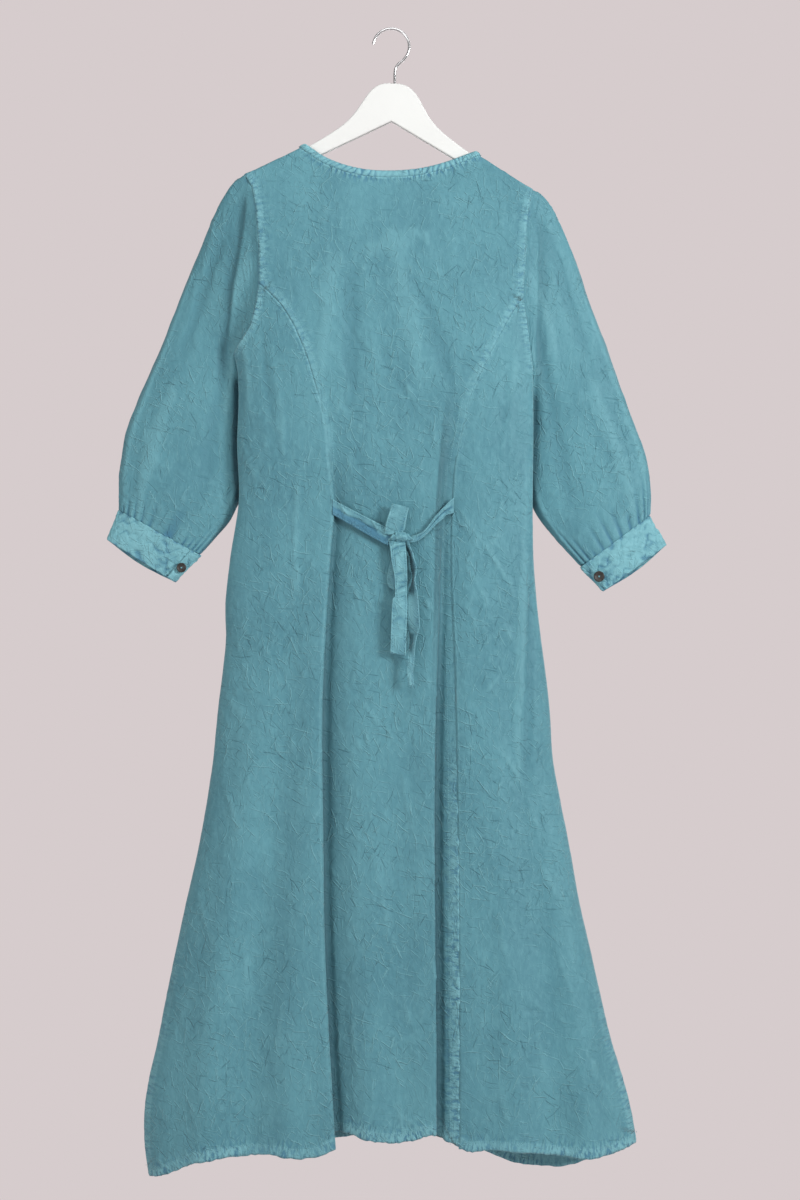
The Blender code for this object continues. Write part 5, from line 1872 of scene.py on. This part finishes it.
def make_cuff(side, trim, thread):
    place = place_cuff(side)
    u, v, points = grid_points(lambda a, b: place(a, b * 1.03 - 0.03), *CUFF_GRID, False)
    normals = grid_normals(points, None, False)
    shape = u.shape
    u, v = u.ravel(), v.ravel()
    seed = 31 if side == "left" else 37
    around, along = u * CUFF_ROUND, v * CUFF_HEIGHT
    bulge = np.sqrt(np.clip(1 - (2 * v - 1) ** 8, 0, 1))
    height = crumple(around * 1.3, along * 1.3, seed) * 0.8 + 0.8 * (bulge - 1)
    squiggle = np.zeros_like(u)
    paths = []
    for row in range(SQUIGGLE_ROWS):
        middle = (row + 1.25) / (SQUIGGLE_ROWS + 1)

        def swing(at, row=row):
            wave = np.sin(at / SQUIGGLE_WAVE * 2 * math.pi + row * 2.3) * SQUIGGLE_SWING
            return wave + 0.13 * soft_noise(at / 11, 0 * at + row * 4, seed + row)

        away = (v - middle - swing(around)) * CUFF_HEIGHT / 1.25
        patches = soft_noise(around / 26, 0 * around + 7 * row, seed + 9)
        strength = 0.25 + 0.75 * smoothstep(0.5 + 1.4 * patches)
        squiggle = np.maximum(squiggle, strength * np.exp(-(away**2)))
        at = np.arange(6, CUFF_ROUND - 6, STITCH_PITCH)
        paths.append((at / CUFF_ROUND, np.clip(middle + swing(at), 0.03, 0.97)))
    puckers = soft_noise(around / 5.5, along / 4.5, seed + 3)
    folds = soft_noise(around / 9 + along / 14, along / 40, seed + 5)
    height = height + 0.8 * puckers - 1.1 * squiggle + 1.1 * folds
    edge = np.minimum(v, 1 - v) * CUFF_HEIGHT
    rib = soft_noise(around / 4.2, along / 9, seed + 4) * np.exp(-((edge / 3.5) ** 2))
    height = height + 0.6 * rib
    # Painted light on the cuff: shade painted in its low places and rib valleys, paler colour on raised
    # puckers and folds as painted highlight, darker in the squiggle grooves, pale along its top edge
    low = np.clip(-height - 0.5, 0, 1.5)
    painted_blue_shade = np.clip(0.8 * low, 0, 1) + np.clip(-2.2 * rib - 0.3, 0, 1)
    band = np.clip(0.62 + 0.5 * puckers + 0.3 * folds - 0.3 * squiggle, 0, 1)
    band = np.maximum(band, np.exp(-((v * CUFF_HEIGHT / 1.5) ** 2)))
    points = points + normals * height.reshape(shape + (1,)) * MM
    down = unit(points[-1] - points[0])
    far = smoothstep((points[-1, :, 1] / MM - CUFF_EDGE[side][4]) / 6)
    x_share = (points[-1, :, 0] / MM - CUFF_EDGE[side][0]) / (CUFF_EDGE[side][2] - CUFF_EDGE[side][0])
    lower = far * np.clip(np.sin(math.pi * np.clip(x_share, 0, 1)), 0, 1) * CUFF_FAR_DROP
    points = points + (v.reshape(shape) ** 2 * lower)[:, :, None] * down * MM
    fine = grid_normals(points, None, False)
    layers = {"height": height, "band": band, "painted_blue_shade": np.clip(painted_blue_shade, 0, 1)}
    thing = build_sheet("cloth_cuff_" + side, points, fine, layers, False, trim, CUFF_WALL)
    dress(thing, "band_cloth", "cuff_" + side)
    vertices, faces = [], []
    top_row = np.arange(3, CUFF_ROUND - 5, STITCH_PITCH)
    for us, vs in paths + [(top_row / CUFF_ROUND, 0 * top_row + 0.06)]:
        rows_at, columns_at = vs * (shape[0] - 1), us * (shape[1] - 1)
        spots = points[rows_at.round().astype(int), columns_at.round().astype(int)]
        outward = fine[rows_at.round().astype(int), columns_at.round().astype(int)]
        ways = unit(np.gradient(spots, axis=0))
        for spot, normal, way in zip(spots, outward, ways):
            add_stitch(vertices, faces, spot + normal * 0.15 * MM, way, np.cross(normal, way), normal)
    dress(loose_mesh("stitches_cuff_" + side, vertices, faces, thread), "band_cloth")


def make_binding(trim):
    u, v, points = grid_points(place_binding, *BINDING_GRID, True)
    normals = grid_normals(points, (0, -1, 0), True)
    front = points[:, :, 1] > 0
    normals = np.where(front[:, :, None] == (normals[:, :, 1:2] > 0), normals, -normals)
    shape = u.shape
    u, v = u.ravel(), v.ravel()
    around = u * BINDING_ROUND
    calm = smoothstep((np.abs(around - BINDING_CALM_AT) - 10) / 10)
    turn = around / BINDING_RIB_PITCH + 0.5 * v + 0.35 * soft_noise(around / 9, v, 41)
    ribs = np.cos(2 * math.pi * turn) * (0.7 + 0.45 * soft_noise(around / 15, v, 42))
    shown = 0.2 + 0.8 * calm
    height = 1.0 * np.sqrt(np.clip(1 - (2 * v - 1) ** 2, 0, 1)) + 0.8 * ribs * shown
    height = height - 1.3 * np.exp(-((np.minimum(v, 1 - v) * BINDING_WIDTH / 1.3) ** 2))
    # Painted light on the binding: blue shade painted in the valleys between its ribs, rib tops paler as
    # painted highlight
    valley = np.clip(-2.0 * ribs - 0.3, 0, 1) * shown
    layers = {"height": height, "band": np.clip(0.4 + 0.7 * ribs, 0, 1), "painted_blue_shade": valley}
    points = points + normals * height.reshape(shape + (1,)) * MM
    thing = build_sheet("cloth_neck_binding", points, normals, layers, True, trim, BAND_SHELL)
    dress(thing, "band_cloth", "neck_binding")


def edge_stitches(name, points, normals, places, length, thread):
    """Rows of stitches along a ribbon, at shares of its width."""
    vertices, faces = [], []
    columns = np.arange(points.shape[1])
    count = int(length * 1000 / STITCH_PITCH)
    rows = points.shape[0] - 1
    for place in places:
        for step in range(count):
            where = (step + 0.5) / count * columns[-1]
            low = int(where)
            share = where - low
            row = int(round(place * rows))
            spot = points[row, low] * (1 - share) + points[row, min(low + 1, columns[-1])] * share
            way = unit(points[row, min(low + 1, columns[-1])] - points[row, max(low - 1, 0)])
            normal = normals[row, low]
            middle = spot + normal * (DOUBLE_CLOTH / 2 + 0.1) * MM
            add_stitch(vertices, faces, middle, way, np.cross(normal, way), normal)
    dress(loose_mesh(name, vertices, faces, thread), "band_cloth")


def between_edges(rows):
    """A ribbon between two edge lines, each with its lift off the back; v runs across it."""

    def place(u, v):
        left_x, left_drop, left_lift, right_x, right_drop, right_lift = station(rows, u)
        x = left_x + (right_x - left_x) * v
        drop = left_drop + (right_drop - left_drop) * v
        y = back_y(0 * x + KNOT["x"], drop) * 0.5 + back_y(x, drop) * 0.5
        return points_at(x, y - left_lift - (right_lift - left_lift) * v, drop)

    return place


def make_ribbon(
    name, rows, grid, trim, thread, length, seed, creases=(), lower_half_shade=0.0, hollows=()
):
    """A doubled ribbon with stitched edges and a few pressed creases.

    Its length is in metres.
    """
    u, v, points = grid_points(between_edges(rows), *grid, False)
    normals = grid_normals(points, (0, -1, 0), False)
    shape = u.shape
    u, v = u.ravel(), v.ravel()
    along, across = u * length * 1000, v * TIE_WIDTH
    edge = np.minimum(v, 1 - v) * TIE_WIDTH
    puckers = soft_noise(along / 7, v * 2.5, seed)
    ribs = soft_noise(along / 3, v, seed + 1) * np.exp(-((edge / 3) ** 2))
    row = np.exp(-(((edge - 2.2) / 0.8) ** 2))
    dots = row * smoothstep(np.cos(2 * math.pi * along / STITCH_PITCH))
    height = 0.65 * puckers + 0.35 * ribs - 0.25 * row - 0.25 * dots
    # Shade painted where the ribbon lies in a hollow
    shade = np.zeros_like(u)
    for start, end, first, last, strength in hollows:
        inside = smoothstep((along - start) / 8) * (1 - smoothstep((along - end) / 8))
        inside = inside * smoothstep((v - first) / 0.1) * (1 - smoothstep((v - last) / 0.1))
        shade = np.maximum(shade, strength * inside)
    pressed = np.zeros_like(u)
    add_creases(pressed, along, across, creases, (), seed)
    height = height + 1.5 * pressed
    # Painted light on the ribbon: blue shade painted on its folded lower half, in the stitch dimples, its
    # low places and rib valleys; pale edges and crests, partly painted highlight
    painted_blue_shade = lower_half_shade * smoothstep((v - 0.45 - 0.12 * puckers) / 0.2) + 0.55 * dots
    painted_blue_shade = painted_blue_shade + 0.6 * np.clip(-height - 0.3, 0, 1) + 0.5 * np.clip(-ribs - 0.3, 0, 1)
    band = 0.12 + 0.3 * puckers + 1.1 * np.exp(-((edge / 0.9) ** 2)) + 0.5 * np.clip(height, 0, 1)
    layers = {
        "height": 1.4 * height, "band": np.clip(band, 0, 1), "painted_blue_shade": np.clip(painted_blue_shade, 0, 1), "shade": shade,
    }
    points = points + normals * height.reshape(shape + (1,)) * MM
    thing = build_sheet("cloth_" + name, points, normals, layers, False, trim, TIE_SHELL, False)
    dress(thing, "dress_cloth", name)
    edge_stitches("stitches_" + name, points, normals, (0.11, 0.89), length, thread)
    return thing


def make_tie(trim, thread):
    make_ribbon("tie_strap_left", STRAP_LEFT_SEEN, (90, 20), trim, thread, 0.094, 51, STRAP_CREASES, 1.0)
    make_ribbon(
        "tie_strap_right", STRAP_RIGHT_SEEN, (90, 20), trim, thread, 0.080, 53, ROLLED_CREASES, 0.2
    )
    make_ribbon("tie_tail_flat", TAIL_FLAT_SEEN, (160, 24), trim, thread, 0.156, 55, TAIL_CREASES)
    make_ribbon(
        "tie_tail_twisted", TAIL_TURNED_SEEN, (190, 20), trim, thread, 0.196, 57, (), 0.2,
        hollows=TAIL_HOLLOWS,
    )
    make_ribbon("tie_loop_up", LOOP_UP_SEEN, (110, 20), trim, thread, 0.072, 59)
    make_ribbon("tie_loop_low", LOOP_LOW_SEEN, (110, 16), trim, thread, 0.070, 61, (), 0.4)
    make_knot(trim)


KNOT_WRAPS = (
    # x from the middle, tilt in degrees, width, share of the knot's height, of its depth
    (-6.5, 38, 11, 0.50, 0.95),
    (9.5, -42, 11, 0.52, 0.95),
    (2.0, -10, 14, 0.70, 1.20),
)


def make_knot(trim):
    """Three turns of the ribbon round the others, pressed into each other."""
    middle_y = float(back_y(np.array([KNOT["x"]]), np.array([KNOT["drop"]]))[0]) - KNOT["lift"]
    u, v = np.meshgrid(np.arange(64) / 64, np.linspace(0, 1, 15))
    pieces = []
    for number, (shift, tilt, width, share, deeper) in enumerate(KNOT_WRAPS):
        angle = u * 2 * math.pi
        across = (v - 0.5) * width
        pinch = np.sqrt(np.clip(1 - (2 * v - 1) ** 2 * 0.9, 0, 1)) ** 0.5
        swell = 0.86 + 0.14 * pinch + 0.04 * soft_noise(u * 9, v * 5, 70 + number)
        high = np.cos(angle) * KNOT["half_height"] * swell * share
        deep = np.sin(angle) * KNOT["half_depth"] * swell * deeper
        lean = math.tan(math.radians(tilt))
        x = KNOT["x"] + shift + across + high * lean
        points = np.stack([x * MM, (middle_y + deep) * MM, (-KNOT["drop"] + high) * MM], axis=-1)
        normals = grid_normals(points, None, True)
        ribs = soft_noise(u * 14, v * 7, 75 + number)
        height = 0.45 * ribs
        # Painted light on the knot: paler rims and rib tops, partly painted highlight, and blue shade
        # painted in the rib valleys
        rim = np.exp(-((np.minimum(v, 1 - v) * width / 1.2) ** 2))
        band = 0.3 + 0.3 * ribs + 0.7 * rim
        layers = {"height": height, "band": band, "painted_blue_shade": np.clip(-ribs - 0.2, 0, 1)}
        points = points + normals * height[:, :, None] * MM
        thing = build_sheet("cloth_knot_%d" % number, points, normals, layers, True, trim, BAND_SHELL)
        dress(thing, "dress_cloth", "tie_knot")
        pieces.append(thing)
    return pieces


def make_button(side, wood, thread):
    """A turned wooden button with a raised rim and four holes, sewn on with pale thread."""
    low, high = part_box("button_" + side)
    middle = (low + high) / 2
    radius = (high.x - low.x) / 2 / MM
    thick = (high.y - low.y) / MM
    profile = (
        # distance from the middle, height
        (0.0, 0.62), (radius - BUTTON_RIM - 1.4, 0.62), (radius - BUTTON_RIM - 0.5, 0.80),
        (radius - BUTTON_RIM, 1.0), (radius - 0.7, 1.0), (radius - 0.2, 0.85), (radius, 0.5),
        (radius - 0.25, 0.12), (radius - 0.9, 0.0), (0.0, 0.0),
    )
    sides = 40
    vertices, faces = [], []
    for out, up in profile:
        for k in range(sides):
            angle = 2 * math.pi * k / sides
            x, z = middle.x + out * math.cos(angle) * MM, middle.z + out * math.sin(angle) * MM
            vertices.append((x, high.y - up * thick * MM, z))
    for ring in range(len(profile) - 1):
        for k in range(sides):
            n = (k + 1) % sides
            low_ring, high_ring = ring * sides, (ring + 1) * sides
            faces.append((low_ring + k, low_ring + n, high_ring + n, high_ring + k))
    button = loose_mesh("wood_button_" + side, vertices, faces, wood)
    dress(button, "button_wood", "button_" + side)
    weld = button.modifiers.new("weld", "WELD")
    weld.merge_threshold = 0.00002
    vertices, faces = [], []
    normal = np.array([0.0, -1.0, 0.0])
    for tilt in (0.7, 0.7 + math.pi / 2):
        way = np.array([math.cos(tilt), 0, math.sin(tilt)])
        centre = np.array(middle) * 1.0
        centre[1] = high.y - 0.72 * thick * MM
        for shift in (-0.3, 0.3):
            spot = centre + np.cross(normal, way) * shift * MM
            add_stitch(vertices, faces, spot, way, np.cross(normal, way), normal, 3.6, 0.34)
    dress(loose_mesh("thread_button_" + side, vertices, faces, thread), "band_cloth")


def curve_piece(name, points, closed, radius, rings, material, **settings):
    """A line through points given in millimetres, with a round section, as an object of its own."""
    curve = bpy.data.curves.new(name, "CURVE")
    for setting, value in settings.items():
        setattr(curve, setting, value)
    curve.bevel_depth = radius * MM
    curve.bevel_resolution = rings
    spline = curve.splines.new("POLY")
    spline.use_cyclic_u = closed
    spline.points.add(len(points) - 1)
    for point, place in zip(spline.points, points):
        point.co = (*(value * MM for value in place), 1)
    curve.materials.append(material)
    thing = bpy.data.objects.new(name, curve)
    bpy.context.scene.collection.objects.link(thing)
    return thing


def make_hanger(paint):
    """The flat hanger with softly rounded edges."""
    points = [(x, -drop, 0) for x, drop in hanger_outline()]
    hanger = curve_piece(
        "painted_hanger", points, True, HANGER_EDGE, 4, paint, dimensions="2D", fill_mode="BOTH",
        extrude=(HANGER_THICKNESS / 2 - HANGER_EDGE) * MM, offset=-HANGER_EDGE * MM,
    )
    hanger.rotation_euler = (math.pi / 2, HANGER_TILT, 0)
    hanger.location = (HANGER_MIDDLE[0] * MM, 0, -HANGER_MIDDLE[1] * MM)
    dress(hanger, "hanger_paint", "hanger")


def make_hook(chrome):
    """The bent wire: an arc over the rail, then its stem down to the hanger."""
    centre = -(HOOK_RADIUS - WIRE_RADIUS)
    angles = np.linspace(HOOK_TIP_ANGLE, HOOK_TURN_ANGLE, HOOK_POINTS)
    line = [(HOOK_RADIUS * math.cos(a), 0, centre + HOOK_RADIUS * math.sin(a)) for a in angles]
    stem = np.linspace(0, len(HOOK_STEM) - 1, STEM_POINTS)
    for s in stem:
        x, drop = (float(through_rows(HOOK_STEM, s, column)) for column in (0, 1))
        line.append((x, 0, -drop))
    line.append((HOOK_STEM[-1][0], 0, -HANGER_MIDDLE[1] + SEAM_GAP))
    hook = curve_piece("wire_hook", line, False, WIRE_RADIUS, 5, chrome, dimensions="3D", use_fill_caps=True)
    dress(hook, "hook_chrome", "hook")


def make_studio():
    """Pale ground colour all round, a floor below the view, and large soft lamps."""
    scene = bpy.context.scene
    scene.view_settings.view_transform = "Standard"
    world = bpy.data.worlds.new("studio")
    scene.world = world
    world.use_nodes = True
    tree = world.node_tree
    seen = tree.nodes["Background"]
    seen.inputs["Color"].default_value = (*GROUND, 1)
    seen.inputs["Strength"].default_value = 1.0
    room = add_node(tree, "ShaderNodeBackground", {"Color": (*ROOM, 1), "Strength": ROOM_STRENGTH})
    looked_at = add_node(tree, "ShaderNodeLightPath").outputs["Is Camera Ray"]
    both = add_node(tree, "ShaderNodeMixShader", {0: looked_at, 1: room.outputs[0], 2: seen.outputs[0]})
    tree.links.new(both.outputs[0], tree.nodes["World Output"].inputs["Surface"])
    bpy.ops.mesh.primitive_plane_add(size=1, location=(0, -1.45, -FLOOR_DROP * MM))
    floor = bpy.context.object
    floor.name = "floor"
    floor.scale = (7, 5, 1)
    material, tree, shader = new_material("floor", 0.9)
    tone = noise(tree, place_in(tree, (1, 1, 1)), 3.0, 2.0).outputs[0]
    tree.links.new(mix(tree, tone, (0.60, 0.54, 0.545), (0.64, 0.575, 0.58)), shader.inputs["Base Color"])
    floor.data.materials.append(material)
    for name, at, target, size, power in LAMPS:
        data = bpy.data.lights.new(name, "AREA")
        data.size = size
        data.energy = power
        lamp = bpy.data.objects.new(name, data)
        scene.collection.objects.link(lamp)
        lamp.location = at
        way = np.array(target, float) - np.array(at, float)
        tilt = math.acos(-way[2] / np.linalg.norm(way))
        lamp.rotation_euler = (tilt, 0, math.atan2(way[1], way[0]) - math.pi / 2)
    data = bpy.data.cameras.new("camera")
    data.lens = CAMERA_LENS
    data.sensor_width = 36
    camera = bpy.data.objects.new("camera", data)
    scene.collection.objects.link(camera)
    camera.location = [value * MM for value in CAMERA_AT]
    camera.rotation_euler = (math.pi / 2, 0, 0)
    scene.camera = camera


def main():
    make_studio()
    cloth = cloth_material("teal_cloth", TEAL, TEAL_DEEP, TEAL_PALE, 0.18)
    trim = cloth_material("pale_teal_trim", TEAL_PALE, TEAL, BAND_TEAL, 0.18)
    tie_cloth = cloth_material("teal_tie", TIE_TEAL, TEAL_DEEP, BAND_TEAL, 0.12)
    thread = thread_material()
    make_body(cloth, thread)
    wood = button_material()
    for side in ("left", "right"):
        make_sleeve(side, cloth)
        make_cuff(side, trim, thread)
        make_button(side, wood, thread)
    make_binding(trim)
    make_tie(tie_cloth, thread)
    make_hanger(paint_material())
    make_hook(chrome_material())


main()
